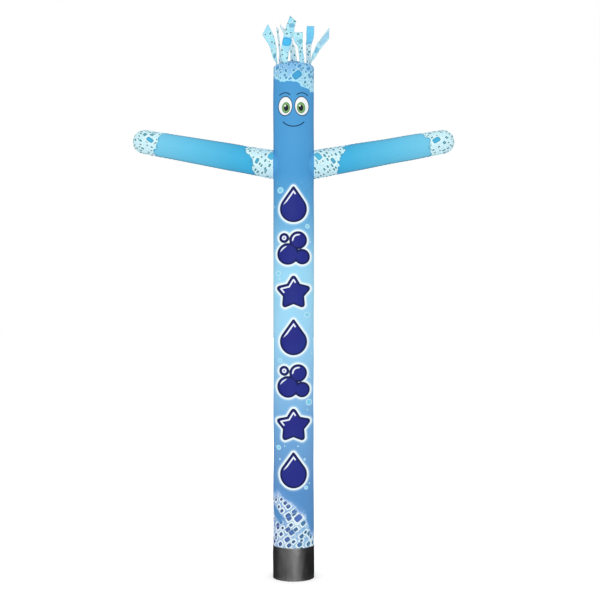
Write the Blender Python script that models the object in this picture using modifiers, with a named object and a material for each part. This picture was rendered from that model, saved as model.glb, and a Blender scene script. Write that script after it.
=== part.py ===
"""Inflatable air dancer, built as it stands while air fills it.

A printed panel is rolled into a tall tube and closed by a seam down its back.
A round crown is sewn into the turned-in top, two sleeves of two panels each stand
out at the sides, seven loose strips are caught in the crown's seam, and a black
sleeve of heavier cloth carries it all on the ground.

Metres, +Z up, the printed front towards -Y, the origin at the middle of the base.
"""

import math

import bmesh
import bpy
import numpy as np
from mathutils import Matrix

# ---- driving dimensions (metres, unless a name says degrees) --------------

TUBE_DIAMETER = 0.4572
TUBE_TOP = 5.763
CLOTH = 0.002
SEWN_GAP = 0.0003
STEPS_ROUND = 48

SHOULDER_RADIUS = 0.028
RIM_WIDTH = 0.0046
CROWN_RISE = 0.052

BASE_HEIGHT = 0.366
BASE_CLOTH = 0.003
BASE_LAP = 0.025
HEM_HEIGHT = 0.030

BACK_SEAM_WIDTH = 0.012
BACK_SEAM_PROUD = 0.0015

ARM_ROOT_HEIGHT = 4.652
ARM_RISE_DEGREES = 10.0
ARM_LENGTH = 1.602
ARM_ROOT_DIAMETER = 0.310
ARM_HAND_DIAMETER = 0.256
ARM_STEPS_ROUND = 32
SEAM_ALLOWANCE = 0.010
SEAM_PROUD = 0.003
PORT_DIAMETER = 0.272

STREAMER_CLOTH = 0.0016
STREAMER_ROWS = 18
STREAMER_COLUMNS = 4
STREAMER_CUP = 0.006

# ---- sizes worked out from them -------------------------------------------

TUBE_RADIUS = TUBE_DIAMETER / 2
RIM_RADIUS = TUBE_RADIUS - SHOULDER_RADIUS
RIM_INNER_RADIUS = RIM_RADIUS - RIM_WIDTH
SEAM_CIRCLE_RADIUS = RIM_RADIUS - RIM_WIDTH / 2
TUBE_BOTTOM = BASE_HEIGHT - BASE_LAP
BASE_INNER_RADIUS = TUBE_RADIUS + SEWN_GAP
BASE_OUTER_RADIUS = BASE_INNER_RADIUS + BASE_CLOTH

# ---- colours ---------------------------------------------------------------

SKY_BLUE = (0.16, 0.47, 0.78)
POOL_CYAN = (0.20, 0.60, 0.83)
FOAM_CYAN = (0.55, 0.82, 0.93)
BASE_BLACK = (0.020, 0.020, 0.022)

# ---- the streamers ---------------------------------------------------------
# seam_angle: place on the crown's seam, degrees from the front towards +X.
# slant: how much further the +u corner of the cut end reaches than the other.
# stations: height above the seam, x, y, turn of the strip's width from +X in
# degrees, and width, from the root to the tip.

STREAMERS = {
    "streamer_1": {
        "seam_angle": -79,
        "slant": 0.078,
        "stations": [
            (0.078, -0.221, -0.038, -60, 0.098),
            (0.153, -0.221, -0.034, -54, 0.100),
            (0.232, -0.235, -0.024, -46, 0.104),
            (0.306, -0.264, -0.012, -32, 0.110),
            (0.450, -0.341, 0.004, -4, 0.113),
        ],
    },
    "streamer_2": {
        "seam_angle": -132,
        "slant": 0.024,
        "stations": [
            (0.075, -0.149, 0.133, -116, 0.080),
            (0.165, -0.154, 0.131, -104, 0.084),
            (0.300, -0.168, 0.122, -104, 0.086),
            (0.466, -0.188, 0.104, -106, 0.086),
        ],
    },
    "streamer_3": {
        "seam_angle": -31,
        "slant": -0.032,
        "stations": [
            (0.090, -0.098, -0.172, -24, 0.097),
            (0.170, -0.088, -0.170, -8, 0.099),
            (0.250, -0.073, -0.158, 8, 0.101),
            (0.330, -0.055, -0.144, 16, 0.101),
            (0.430, -0.029, -0.130, 20, 0.095),
            (0.526, 0.000, -0.120, 22, 0.086),
        ],
    },
    "streamer_4": {
        "seam_angle": 28,
        "slant": 0.004,
        "stations": [
            (0.100, 0.084, -0.180, 44, 0.072),
            (0.176, 0.075, -0.184, 44, 0.080),
            (0.231, 0.061, -0.186, 24, 0.096),
            (0.282, 0.050, -0.182, 4, 0.110),
            (0.347, 0.056, -0.174, -12, 0.104),
        ],
    },
    "streamer_5": {
        "seam_angle": 79,
        "slant": -0.092,
        "stations": [
            (0.078, 0.226, -0.036, 68, 0.092),
            (0.151, 0.249, -0.026, 58, 0.088),
            (0.224, 0.288, -0.016, 48, 0.088),
            (0.297, 0.343, -0.002, 38, 0.086),
            (0.407, 0.430, 0.014, 28, 0.086),
        ],
    },
    "streamer_6": {
        "seam_angle": 122,
        "slant": 0.003,
        "stations": [
            (0.060, 0.168, 0.108, 118, 0.092),
            (0.150, 0.168, 0.112, 125, 0.092),
            (0.254, 0.171, 0.118, 130, 0.092),
            (0.324, 0.182, 0.120, 150, 0.090),
            (0.391, 0.189, 0.116, 166, 0.090),
            (0.479, 0.191, 0.104, 160, 0.090),
        ],
    },
    "streamer_7": {
        "seam_angle": 180,
        "slant": -0.040,
        "stations": [
            (0.088, -0.001, 0.197, 200, 0.080),
            (0.168, -0.005, 0.193, 218, 0.080),
            (0.247, -0.015, 0.184, 222, 0.082),
            (0.320, -0.044, 0.174, 220, 0.080),
            (0.395, -0.086, 0.160, 226, 0.074),
            (0.465, -0.132, 0.148, 240, 0.068),
            (0.520, -0.170, 0.142, 250, 0.062),
        ],
    },
}
ROOT_WIDTH_SHARE = 0.86
ROOT_RISE = 0.030
ROOT_BLEND = 0.34


# ---- collections, materials and helpers ------------------------------------


def clear_scene():
    """Remove what the file holds."""
    for leftover in list(bpy.data.objects):
        bpy.data.objects.remove(leftover, do_unlink=True)


def new_collection(name):
    """A collection of that name, linked to the scene."""
    collection = bpy.data.collections.new(name)
    bpy.context.scene.collection.children.link(collection)
    return collection


def cloth_material(name, colour, roughness):
    """A Principled material of one colour, never metallic."""
    material = bpy.data.materials.new(name)
    material.use_nodes = True
    shader = material.node_tree.nodes["Principled BSDF"]
    shader.inputs["Base Color"].default_value = (*colour, 1.0)
    shader.inputs["Roughness"].default_value = roughness
    shader.inputs["Metallic"].default_value = 0.0
    return material


def mesh_from_points(name, points, edges=(), faces=()):
    """A mesh of the given points, edges and faces."""
    mesh = bpy.data.meshes.new(name)
    mesh.from_pydata([tuple(point) for point in points], list(edges), list(faces))
    mesh.update()
    return mesh


def add_object(name, mesh, collection):
    """An object that shows the mesh, in that collection."""
    thing = bpy.data.objects.new(name, mesh)
    collection.objects.link(thing)
    return thing


def hide_cutter(thing):
    """Keep a cutter or a guide out of the finished object."""
    thing.hide_render = True
    thing.display_type = "WIRE"
    return thing


def profile_mesh(name, profile, closed=False):
    """Edges through (radius, height) pairs, drawn in the XZ plane at +X."""
    points = [(radius, 0.0, height) for radius, height in profile]
    edges = [(i, i + 1) for i in range(len(points) - 1)]
    if closed:
        edges.append((len(points) - 1, 0))
    return mesh_from_points(name, points, edges)


def turn_profile(thing, steps):
    """Turn the object's profile round its own Z axis."""
    screw = thing.modifiers.new("turned", "SCREW")
    screw.steps = steps
    screw.render_steps = steps
    screw.use_merge_vertices = True
    screw.merge_threshold = 0.00001
    screw.use_smooth_shade = False


def thicken(thing, thickness, offset=-1.0):
    """Give an open surface its cloth; offset -1 thickens towards the inside."""
    solidify = thing.modifiers.new("cloth", "SOLIDIFY")
    solidify.thickness = thickness
    solidify.offset = offset
    solidify.use_even_offset = True
    solidify.use_rim = True


def boolean(thing, other, operation):
    """Cut the other object from this one, or join it to this one."""
    modifier = thing.modifiers.new(operation.lower(), "BOOLEAN")
    modifier.operation = operation
    modifier.solver = "EXACT"
    modifier.object = other


def box_cutter(name, low, high):
    """A box between two corners."""
    mesh = bpy.data.meshes.new(name)
    shape = bmesh.new()
    low, high = np.array(low), np.array(high)
    place = Matrix.Translation((low + high) / 2) @ Matrix.Diagonal((*(high - low), 1.0))
    bmesh.ops.create_cube(shape, size=1.0, matrix=place)
    shape.to_mesh(mesh)
    shape.free()
    return hide_cutter(add_object(name, mesh, helpers))


def rod_cutter(name, radius, bottom, top, steps, place=None):
    """A closed cylinder along Z, or along the Z of the given matrix."""
    mesh = bpy.data.meshes.new(name)
    shape = bmesh.new()
    middle = Matrix.Translation((0.0, 0.0, (bottom + top) / 2))
    bmesh.ops.create_cone(
        shape,
        cap_ends=True,
        segments=steps,
        radius1=radius,
        radius2=radius,
        depth=top - bottom,
        matrix=(place or Matrix.Identity(4)) @ middle,
    )
    shape.to_mesh(mesh)
    shape.free()
    return hide_cutter(add_object(name, mesh, helpers))


def arm_frame(side):
    """Where an arm's axis starts and points: +Z runs out along the sleeve."""
    lean = math.radians(90.0 - ARM_RISE_DEGREES) * side
    root = (side * TUBE_RADIUS, 0.0, ARM_ROOT_HEIGHT)
    return Matrix.Translation(root) @ Matrix.Rotation(lean, 4, "Y")


# ---- the tube, its crown and its base --------------------------------------


def tube_profile():
    """The tube from its turned-in rim, round the shoulder and down to the lap."""
    arc_steps = 5
    profile = [(RIM_INNER_RADIUS, TUBE_TOP)]
    for i in range(arc_steps + 1):
        angle = math.radians(90.0 * (1 - i / arc_steps))
        profile.append(
            (
                RIM_RADIUS + SHOULDER_RADIUS * math.cos(angle),
                TUBE_TOP - SHOULDER_RADIUS + SHOULDER_RADIUS * math.sin(angle),
            )
        )
    wall_rows = 12
    wall_top = TUBE_TOP - SHOULDER_RADIUS
    for i in range(1, wall_rows + 1):
        height = wall_top + (TUBE_BOTTOM - wall_top) * i / wall_rows
        profile.append((TUBE_RADIUS, height))
    return profile


def build_trunk():
    """The tall tube, with a port for each arm and the felled seam at its back."""
    trunk = add_object("trunk", profile_mesh("trunk", tube_profile()), parts)
    turn_profile(trunk, STEPS_ROUND)
    thicken(trunk, CLOTH)
    half = BACK_SEAM_WIDTH / 2
    seam = box_cutter(
        "back_seam",
        (-half, TUBE_RADIUS - 0.75 * CLOTH, BASE_HEIGHT + 0.0005),
        (half, TUBE_RADIUS + BACK_SEAM_PROUD, TUBE_TOP - SHOULDER_RADIUS),
    )
    boolean(trunk, seam, "UNION")
    for side in (-1, 1):
        port = rod_cutter(
            f"port_{side}",
            PORT_DIAMETER / 2,
            -TUBE_RADIUS / 2,
            TUBE_RADIUS / 2,
            ARM_STEPS_ROUND,
            arm_frame(side),
        )
        boolean(trunk, port, "DIFFERENCE")
    trunk.data.materials.append(tube_cloth)


def build_crown():
    """The round top panel, lifted into a low dome by the air."""
    edge = RIM_INNER_RADIUS - SEWN_GAP
    rings = 7
    profile = []
    for i in range(rings + 1):
        radius = edge * i / rings
        profile.append((radius, TUBE_TOP + CROWN_RISE * (1 - (radius / edge) ** 2)))
    crown = add_object("crown", profile_mesh("crown", profile), parts)
    turn_profile(crown, STEPS_ROUND)
    thicken(crown, CLOTH)
    crown.data.materials.append(tube_cloth)


def build_base():
    """The black sleeve; its hem is turned in, so the wall is double at the ground."""
    hem_radius = BASE_INNER_RADIUS - BASE_CLOTH
    profile = [
        (BASE_OUTER_RADIUS, BASE_HEIGHT),
        (BASE_OUTER_RADIUS, 0.0),
        (hem_radius, 0.0),
        (hem_radius, HEM_HEIGHT),
        (BASE_INNER_RADIUS, HEM_HEIGHT + BASE_CLOTH / 2),
        (BASE_INNER_RADIUS, BASE_HEIGHT),
    ]
    base = add_object("base_sleeve", profile_mesh("base_sleeve", profile, closed=True), parts)
    turn_profile(base, STEPS_ROUND)
    base.data.materials.append(base_cloth)


# ---- the arms ---------------------------------------------------------------


def sleeve_profile(grow=0.0):
    """(radius, distance along the arm) from the round tip back inside the tube.

    The sleeve tapers evenly from the tube to the hand, and the hand is a round
    end of the hand's own radius. grow moves the outline out, or in if negative.
    """
    hand_radius = ARM_HAND_DIAMETER / 2
    hand_start = ARM_LENGTH - hand_radius
    arc_steps = 7
    profile = []
    for i in range(arc_steps + 1):
        angle = math.radians(90.0 * (1 - i / arc_steps))
        radius = (hand_radius + grow) * math.cos(angle)
        profile.append((radius, hand_start + (hand_radius + grow) * math.sin(angle)))
    profile[0] = (0.0, profile[0][1])
    slope = (ARM_ROOT_DIAMETER / 2 - hand_radius) / hand_start
    for along in np.linspace(hand_start, -0.75 * TUBE_RADIUS, 8)[1:]:
        radius = hand_radius + slope * (hand_start - along)
        profile.append((radius + grow, float(along)))
    return profile


def seam_band(side, outward):
    """The flat seam allowance of one arm panel, a U along both edges and the tip."""
    proud = sleeve_profile(SEAM_PROUD)
    inner = sleeve_profile(SEAM_PROUD - SEAM_ALLOWANCE)
    half = len(proud)
    rails = []
    for outline in (proud, inner):
        upper = [(-radius, 0.0, along) for radius, along in outline]
        lower = [(radius, 0.0, along) for radius, along in outline[1:]]
        rails.append(upper[::-1] + lower)
    points = rails[0] + rails[1]
    count = 2 * half - 1
    faces = [(i, i + 1, count + i + 1, count + i) for i in range(count - 1)]
    name = f"seam_{side}_{outward}"
    band = add_object(name, mesh_from_points(name, points, faces=faces), helpers)
    band.matrix_world = arm_frame(side)
    shift = outward * (SEWN_GAP + CLOTH) / 2
    band.data.transform(Matrix.Translation((0.0, shift, 0.0)))
    thicken(band, CLOTH, offset=0.0)
    return hide_cutter(band)


def build_arm_panel(side, outward, tube_cutter):
    """One half of a sleeve: outward is -1 for the front panel and 1 for the back."""
    name = f"arm_{'right' if side > 0 else 'left'}_{'back' if outward > 0 else 'front'}"
    panel = add_object(name, profile_mesh(name, sleeve_profile()), parts)
    panel.matrix_world = arm_frame(side)
    turn_profile(panel, ARM_STEPS_ROUND)
    thicken(panel, CLOTH)
    reach = ARM_LENGTH + TUBE_RADIUS
    seam_plane = outward * SEWN_GAP / 2
    far_side = -outward * 2 * TUBE_RADIUS
    other_half = box_cutter(
        f"{name}_other_half",
        (-reach, min(seam_plane, far_side), -reach),
        (reach, max(seam_plane, far_side), reach),
    )
    other_half.matrix_world = arm_frame(side)
    boolean(panel, other_half, "DIFFERENCE")
    boolean(panel, seam_band(side, outward), "UNION")
    boolean(panel, tube_cutter, "DIFFERENCE")
    panel.data.materials.append(arm_cloth)


def build_arms():
    """Both sleeves, each of a front and a back panel, cut to sit on the tube."""
    reach = 2 * ARM_ROOT_DIAMETER
    tube_cutter = rod_cutter(
        "tube_cutter",
        TUBE_RADIUS + SEWN_GAP,
        ARM_ROOT_HEIGHT - reach,
        ARM_ROOT_HEIGHT + reach,
        STEPS_ROUND,
    )
    for side in (-1, 1):
        for outward in (-1, 1):
            build_arm_panel(side, outward, tube_cutter)


# ---- the streamers ----------------------------------------------------------


def smooth_rows(stations, count):
    """Evenly spaced rows on a Catmull-Rom curve through the stations."""
    knots = np.array(stations, dtype=float)
    padded = np.vstack([2 * knots[0] - knots[1], knots, 2 * knots[-1] - knots[-2]])
    spans = len(knots) - 1
    place = np.linspace(0.0, spans, count)
    span = np.minimum(place.astype(int), spans - 1)
    t = (place - span)[:, None]
    before, start, end, after = (padded[span + k] for k in range(4))
    return 0.5 * (
        2 * start
        + (end - before) * t
        + (2 * before - 5 * start + 4 * end - after) * t**2
        + (3 * start - before - 3 * end + after) * t**3
    )


def unit(vectors):
    """The vectors at length one."""
    return vectors / np.linalg.norm(vectors, axis=-1, keepdims=True)


def streamer_grid(spec):
    """Points of a strip: rows along it, columns across it.

    The root follows the crown's seam circle. Above it the strip is spread to both
    sides of its middle line, turned about it and cupped a little across.
    """
    angle = math.radians(spec["seam_angle"])
    root = (SEAM_CIRCLE_RADIUS * math.sin(angle), -SEAM_CIRCLE_RADIUS * math.cos(angle))
    root_width = ROOT_WIDTH_SHARE * spec["stations"][0][4]
    stations = [
        (0.0, *root, spec["seam_angle"], root_width),
        (ROOT_RISE, *root, spec["seam_angle"], root_width),
        *spec["stations"],
    ]
    fine = smooth_rows(stations, 8 * STREAMER_ROWS)
    path = fine[:, [1, 2, 0]]
    steps = np.linalg.norm(np.diff(path, axis=0), axis=1)
    run = np.concatenate([[0.0], np.cumsum(steps)])
    across = np.linspace(-1.0, 1.0, STREAMER_COLUMNS + 1)
    share = np.linspace(0.0, 1.0, STREAMER_ROWS)
    reach = 1.0 + across * spec["slant"] / (2 * run[-1])
    wanted = share[:, None] * reach[None, :] / reach.max() * run[-1]
    columns = []
    for k, u in enumerate(across):
        at = np.stack([np.interp(wanted[:, k], run, fine[:, i]) for i in range(5)], axis=1)
        ahead = np.stack([np.interp(wanted[:, k] + 0.01, run, path[:, i]) for i in range(3)], axis=1)
        behind = np.stack([np.interp(wanted[:, k] - 0.01, run, path[:, i]) for i in range(3)], axis=1)
        tangent = unit(ahead - behind)
        turn = np.radians(at[:, 3])
        level = np.stack([np.cos(turn), np.sin(turn), 0 * turn], axis=1)
        width_way = unit(level - (level * tangent).sum(1, keepdims=True) * tangent)
        face_way = np.cross(tangent, width_way)
        half = u * at[:, 4:5] / 2
        spread = at[:, [1, 2, 0]] + half * width_way + STREAMER_CUP * (1 - u * u) * face_way
        bend = angle + half[:, 0] / SEAM_CIRCLE_RADIUS
        seam = np.stack(
            [
                SEAM_CIRCLE_RADIUS * np.sin(bend),
                -SEAM_CIRCLE_RADIUS * np.cos(bend),
                at[:, 0],
            ],
            axis=1,
        )
        free = np.clip(wanted[:, k] / (ROOT_BLEND * run[-1]), 0.0, 1.0)[:, None]
        free = free * free * (3 - 2 * free)
        columns.append((1 - free) * seam + free * spread)
    grid = np.stack(columns, axis=1)
    grid[:, :, 2] += TUBE_TOP + SEWN_GAP
    return grid


def build_streamers():
    """Every strip in the table, thickened to both sides of its middle surface."""
    for name, spec in STREAMERS.items():
        grid = streamer_grid(spec)
        rows, columns = grid.shape[:2]
        faces = [
            (
                r * columns + c,
                r * columns + c + 1,
                (r + 1) * columns + c + 1,
                (r + 1) * columns + c,
            )
            for r in range(rows - 1)
            for c in range(columns - 1)
        ]
        mesh = mesh_from_points(name, grid.reshape(-1, 3), faces=faces)
        streamer = add_object(name, mesh, parts)
        thicken(streamer, STREAMER_CLOTH, offset=0.0)
        streamer.data.materials.append(streamer_cloth)


# ---- build ------------------------------------------------------------------

clear_scene()
parts = new_collection("air_dancer")
helpers = new_collection("cutters")

tube_cloth = cloth_material("tube_cloth", SKY_BLUE, 0.55)
arm_cloth = cloth_material("arm_cloth", POOL_CYAN, 0.55)
streamer_cloth = cloth_material("streamer_cloth", FOAM_CYAN, 0.6)
base_cloth = cloth_material("base_cloth", BASE_BLACK, 0.4)

build_trunk()
build_crown()
build_base()
build_arms()
build_streamers()
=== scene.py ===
"""The cloth of a tall blown-up tube figure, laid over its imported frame.

Metres, +Z up, the printed front towards -Y. A point on the tube is given by its
angle from the front, towards +X, and its length up the cloth, which is its height
until the shoulder. A point on an arm is given by its angle from the front of the
sleeve, towards the lower seam, and its length out from the tube.
"""

import math

import bmesh
import bpy
import numpy as np
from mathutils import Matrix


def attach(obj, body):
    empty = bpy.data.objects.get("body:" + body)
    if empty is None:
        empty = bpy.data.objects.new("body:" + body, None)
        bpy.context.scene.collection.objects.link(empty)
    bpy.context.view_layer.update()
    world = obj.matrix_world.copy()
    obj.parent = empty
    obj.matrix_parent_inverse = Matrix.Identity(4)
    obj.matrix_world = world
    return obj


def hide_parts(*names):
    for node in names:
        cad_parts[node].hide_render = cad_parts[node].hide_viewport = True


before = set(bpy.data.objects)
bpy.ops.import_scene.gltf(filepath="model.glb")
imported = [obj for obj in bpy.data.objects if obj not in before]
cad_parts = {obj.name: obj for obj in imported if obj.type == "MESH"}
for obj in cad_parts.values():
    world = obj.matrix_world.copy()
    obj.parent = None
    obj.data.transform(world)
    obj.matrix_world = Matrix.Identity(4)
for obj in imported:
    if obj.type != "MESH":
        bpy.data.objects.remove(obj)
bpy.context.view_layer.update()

bl_info = {
    "name": "Inflatable air dancer",
    "version": (1, 0, 0),
    "blender": (4, 5, 0),
    "location": "View3D > Sidebar > Air dancer",
    "description": "Makes the printed cloth, stitching and stage of a tall tube figure",
    "category": "Add Mesh",
}

# ---- sizes shared with the frame --------------------------------------------

TUBE_RADIUS = 0.2286
TUBE_TOP = 5.763
CLOTH = 0.002
SEWN_GAP = 0.0003
SHOULDER_RADIUS = 0.028
RIM_WIDTH = 0.0046
CROWN_RISE = 0.052
BASE_HEIGHT = 0.366
BASE_CLOTH = 0.003
HEM_HEIGHT = 0.030
HEM_SEAM = HEM_HEIGHT - 0.0025
TUBE_BOTTOM = BASE_HEIGHT - 0.025
LAP_SEAM = BASE_HEIGHT - 0.0072
ARM_ROOT_HEIGHT = 4.652
ARM_RISE = math.radians(10.0)
ARM_LENGTH = 1.602
ARM_ROOT_RADIUS = 0.155
ARM_HAND_RADIUS = 0.128
PORT_RADIUS = 0.136
ROOT_SEAM_RADIUS = ARM_ROOT_RADIUS + 0.0045
STREAMER_CLOTH = 0.0016
STREAMER_CUP = 0.006

RIM_RADIUS = TUBE_RADIUS - SHOULDER_RADIUS
RIM_INNER_RADIUS = RIM_RADIUS - RIM_WIDTH
SEAM_CIRCLE_RADIUS = RIM_RADIUS - RIM_WIDTH / 2
WALL_TOP = TUBE_TOP - SHOULDER_RADIUS
SHOULDER_TOP = WALL_TOP + SHOULDER_RADIUS * math.pi / 2
CLOTH_TOP = SHOULDER_TOP + RIM_WIDTH
GIRTH = 2 * math.pi * TUBE_RADIUS
BASE_INNER_RADIUS = TUBE_RADIUS + SEWN_GAP
BASE_OUTER_RADIUS = BASE_INNER_RADIUS + BASE_CLOTH
HAND_START = ARM_LENGTH - ARM_HAND_RADIUS
ARM_TAPER = (ARM_ROOT_RADIUS - ARM_HAND_RADIUS) / HAND_START

# ---- sizes of the sewing ----------------------------------------------------------

FELL_HALF = 0.006  # half the width of the felled seam up the tube's back
FELL_STITCHES = 0.0042  # from the middle of that seam to each of its stitch rows
FELL_SIDE = 0.0176  # and to the first of the evenly spaced columns of cloth
EDGE_AREA = 0.03  # square metres of an arm panel that its seams and root take
THREAD_LIFT = 0.0002
ROOT_GAP = 0.0005  # between an arm's root and the tube
SHOULDER_REACH = 0.036  # length over which the gathers die away from the shoulder
LAP_REACH = 0.034  # and from the lap
RIPPLE_REACH = 0.03  # and the ripples from the back seam
CREASES = 15  # pinches round each arm's root
CROWN_GATHER = 0.0016
CROWN_SWELL = 0.0012
HEM_GROOVE = 0.0006
HEM_PUCKER = 0.0005
WELD_REACH = 0.00002
FOLD_ANGLE = math.radians(50.0)  # a fold sharper than this is shaded as an edge
ARM_U = 0.14  # length round an arm's flat cloth for each radian round the sleeve
CROWN_V = 6.2  # where the crown's middle lies on the tube's flat cloth
FACE_HEIGHT = 5.262

# ---- sizes of the stage -------------------------------------------------------------

CAMERA_DISTANCE = 13.0
CAMERA_PLACE = (0.072, 3.135)  # across and up
CAMERA_REACH = 300.0
HALF_VIEW = 3.3867  # half the width seen at the tube from that distance
GLOSSY_SURROUND = 0.05  # how bright the surround is to glossy light
FLOOR_REACH = 80.0
FLOOR_LIFT = 0.28  # the floor's own light near the hem
KEY_PLACE, KEY_AIM, KEY_SIZE = (-1.2, -9.4, 5.2), (0.0, 0.0, 2.9), (8.0, 7.0)
BASE_LAMP_DISTANCE = 4.0
BASE_LAMP_HEIGHT = 0.75
BASE_LAMP_AIM = (0.0, 0.0, 0.3)
BASE_LAMP_TALL = 1.5
# Upright lamps that light only the black cloth: name, angle from the front towards
# +X in degrees, width and power.
BASE_LAMPS = [
    ("left_sheet", -60, 3.8, 96.0), ("front_sheet", -15, 2.4, 112.0),
    ("strip_light", 10, 0.7, 150.0), ("right_light", 29, 0.8, 66.0),
]

# ---- loose strips --------------------------------------------------------------------

# For each strip, its place on the crown's seam in degrees from the front towards +X,
# how much further one corner of its cut end reaches than the other, and its stations
# from the root to the tip: height above the seam, x, y, turn of the strip's width
# from +X in degrees, and width.
STREAMERS = {
    "streamer_1": (-79, 0.078, [
        (0.078, -0.221, -0.038, -60, 0.098), (0.153, -0.221, -0.034, -54, 0.100),
        (0.232, -0.235, -0.024, -46, 0.104), (0.306, -0.264, -0.012, -32, 0.110),
        (0.450, -0.341, 0.004, -4, 0.113),
    ]),
    "streamer_2": (-132, 0.024, [
        (0.075, -0.149, 0.133, -116, 0.080), (0.165, -0.154, 0.131, -104, 0.084),
        (0.300, -0.168, 0.122, -104, 0.086), (0.466, -0.188, 0.104, -106, 0.086),
    ]),
    "streamer_3": (-31, -0.032, [
        (0.090, -0.098, -0.172, -24, 0.097), (0.170, -0.088, -0.170, -8, 0.099),
        (0.250, -0.073, -0.158, 8, 0.101), (0.330, -0.055, -0.144, 16, 0.101),
        (0.430, -0.029, -0.130, 20, 0.095), (0.526, 0.000, -0.120, 22, 0.086),
    ]),
    "streamer_4": (28, 0.004, [
        (0.100, 0.084, -0.180, 44, 0.072), (0.176, 0.075, -0.184, 44, 0.080),
        (0.231, 0.061, -0.186, 24, 0.096), (0.282, 0.050, -0.182, 4, 0.110),
        (0.347, 0.056, -0.174, -12, 0.104),
    ]),
    "streamer_5": (79, -0.092, [
        (0.078, 0.226, -0.036, 68, 0.092), (0.151, 0.249, -0.026, 58, 0.088),
        (0.224, 0.288, -0.016, 48, 0.088), (0.297, 0.343, -0.002, 38, 0.086),
        (0.407, 0.430, 0.014, 28, 0.086),
    ]),
    "streamer_6": (122, 0.003, [
        (0.060, 0.168, 0.108, 118, 0.092), (0.150, 0.168, 0.112, 125, 0.092),
        (0.254, 0.171, 0.118, 130, 0.092), (0.324, 0.182, 0.120, 150, 0.090),
        (0.391, 0.189, 0.116, 166, 0.090), (0.479, 0.191, 0.104, 160, 0.090),
    ]),
    "streamer_7": (180, -0.040, [
        (0.088, -0.001, 0.197, 200, 0.080), (0.168, -0.005, 0.193, 218, 0.080),
        (0.247, -0.015, 0.184, 222, 0.082), (0.320, -0.044, 0.174, 220, 0.080),
        (0.395, -0.086, 0.160, 226, 0.074), (0.465, -0.132, 0.148, 240, 0.068),
        (0.520, -0.170, 0.142, 250, 0.062),
    ]),
}
ROOT_WIDTH_SHARE = 0.86  # width in the seam as a share of the first station's
ROOT_RISE = 0.030  # height over which a strip stands straight up from the seam
ROOT_BLEND = 0.34  # share of a strip over which it leaves the crown's circle


# ---- cloth surfaces -----------------------------------------------------------


def smooth(value, low, high):
    """0 below low, 1 above high, and an S-shaped step between them."""
    t = np.clip((value - low) / (high - low), 0.0, 1.0)
    return t * t * (3 - 2 * t)


def unit(vectors):
    """The vectors at length one."""
    return vectors / np.linalg.norm(vectors, axis=-1, keepdims=True)


def on_round(radius, theta, height):
    """Points at a radius, at an angle from the front, and at a height."""
    spot = (radius * np.sin(theta), -radius * np.cos(theta), height)
    return np.stack(np.broadcast_arrays(*spot), axis=-1)


def outwards(theta):
    """Level unit directions away from the upright axis."""
    return on_round(1.0, theta, 0.0)


def spaced(marks, counts):
    """Values that rise from mark to mark, with so many even steps between each two."""
    spans = zip(marks, marks[1:], counts)
    parts = [np.linspace(low, high, count + 1)[:-1] for low, high, count in spans]
    return np.concatenate([*parts, marks[-1:]])


def corners(grid):
    """A grid's values at the four corners of each of its cells."""
    return grid[:-1, :-1], grid[1:, :-1], grid[:-1, 1:], grid[1:, 1:]


def mirrored(edge, middle):
    """A row that starts with one edge and ends with the same edge turned round."""
    return np.concatenate([edge, middle, edge[::-1]])


def lengths(path):
    """The length along a path to each of its points: the sum of the steps before."""
    steps = np.linalg.norm(np.diff(path, axis=0), axis=1)
    return np.concatenate([[0.0], np.cumsum(steps)])


def follow(at, run, rows):
    """Rows read off at lengths along a path, from the length run at each row."""
    return np.stack([np.interp(at, run, column) for column in rows.T], axis=-1)


def drift(theta, run, seed, turns, waves):
    """A slow unevenness, mostly between -1 and 1: 1.8 times the mean of six seeded
    cosines, each with a whole number of turns round the piece and a number of waves
    a metre along it."""
    rng = np.random.default_rng(seed)
    total = 0.0
    for _ in range(6):
        n = rng.integers(*turns)
        m = 2 * math.pi * rng.uniform(*waves) * rng.choice([-1, 1])
        total = total + np.cos(n * theta + m * run + rng.uniform(0, 2 * math.pi))
    return total / 6 * 1.8


def ruffle(run, seed, short, long):
    """Uneven waves along a seam, mostly between -1 and 1: 1.6 times the mean of four
    seeded sines whose lengths lie between short and long, in metres."""
    rng = np.random.default_rng(seed)
    total = 0.0
    for _ in range(4):
        length = rng.uniform(short, long)
        total = total + np.sin(2 * math.pi * run / length + rng.uniform(0, 2 * math.pi))
    return total / 4 * 1.6


def tube_profile(run):
    """Radius, height and lean of the normal at a length up the tube's cloth: an
    upright wall, then a quarter circle inwards, then a level rim."""
    bend = np.clip((run - WALL_TOP) / SHOULDER_RADIUS, 0.0, math.pi / 2)
    rim = np.clip(run - SHOULDER_TOP, 0.0, None)
    radius = RIM_RADIUS + SHOULDER_RADIUS * np.cos(bend) - rim
    height = np.minimum(run, WALL_TOP) + SHOULDER_RADIUS * np.sin(bend)
    return radius, height, bend


def arm_axes(side):
    """Where an arm's middle line leaves the tube, and the unit directions down
    across it, to its back and out along it."""
    root = np.array([side * TUBE_RADIUS, 0.0, ARM_ROOT_HEIGHT])
    down = np.array([side * math.sin(ARM_RISE), 0.0, -math.cos(ARM_RISE)])
    back = np.array([0.0, 1.0, 0.0])
    out = np.array([side * math.cos(ARM_RISE), 0.0, math.sin(ARM_RISE)])
    return root, down, back, out


def arm_spot(theta, run, side):
    """How far down across an arm's middle line a spot of the plain tube lies, and
    how far behind it."""
    root, down, back, _ = arm_axes(side)
    away = on_round(TUBE_RADIUS, theta, run) - root
    return away @ down, away @ back


def tube_spot(low, deep, side):
    """The angle and height of the tube's spot that is that far down across an arm's
    middle line and that far behind it: x squared plus y squared is the tube's
    radius squared."""
    root, down, _, _ = arm_axes(side)
    x = side * np.sqrt(np.clip(TUBE_RADIUS**2 - deep**2, 0.0, None))
    return np.arctan2(x, -deep), root[2] + (low - (x - root[0]) * down[0]) / down[2]


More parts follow.
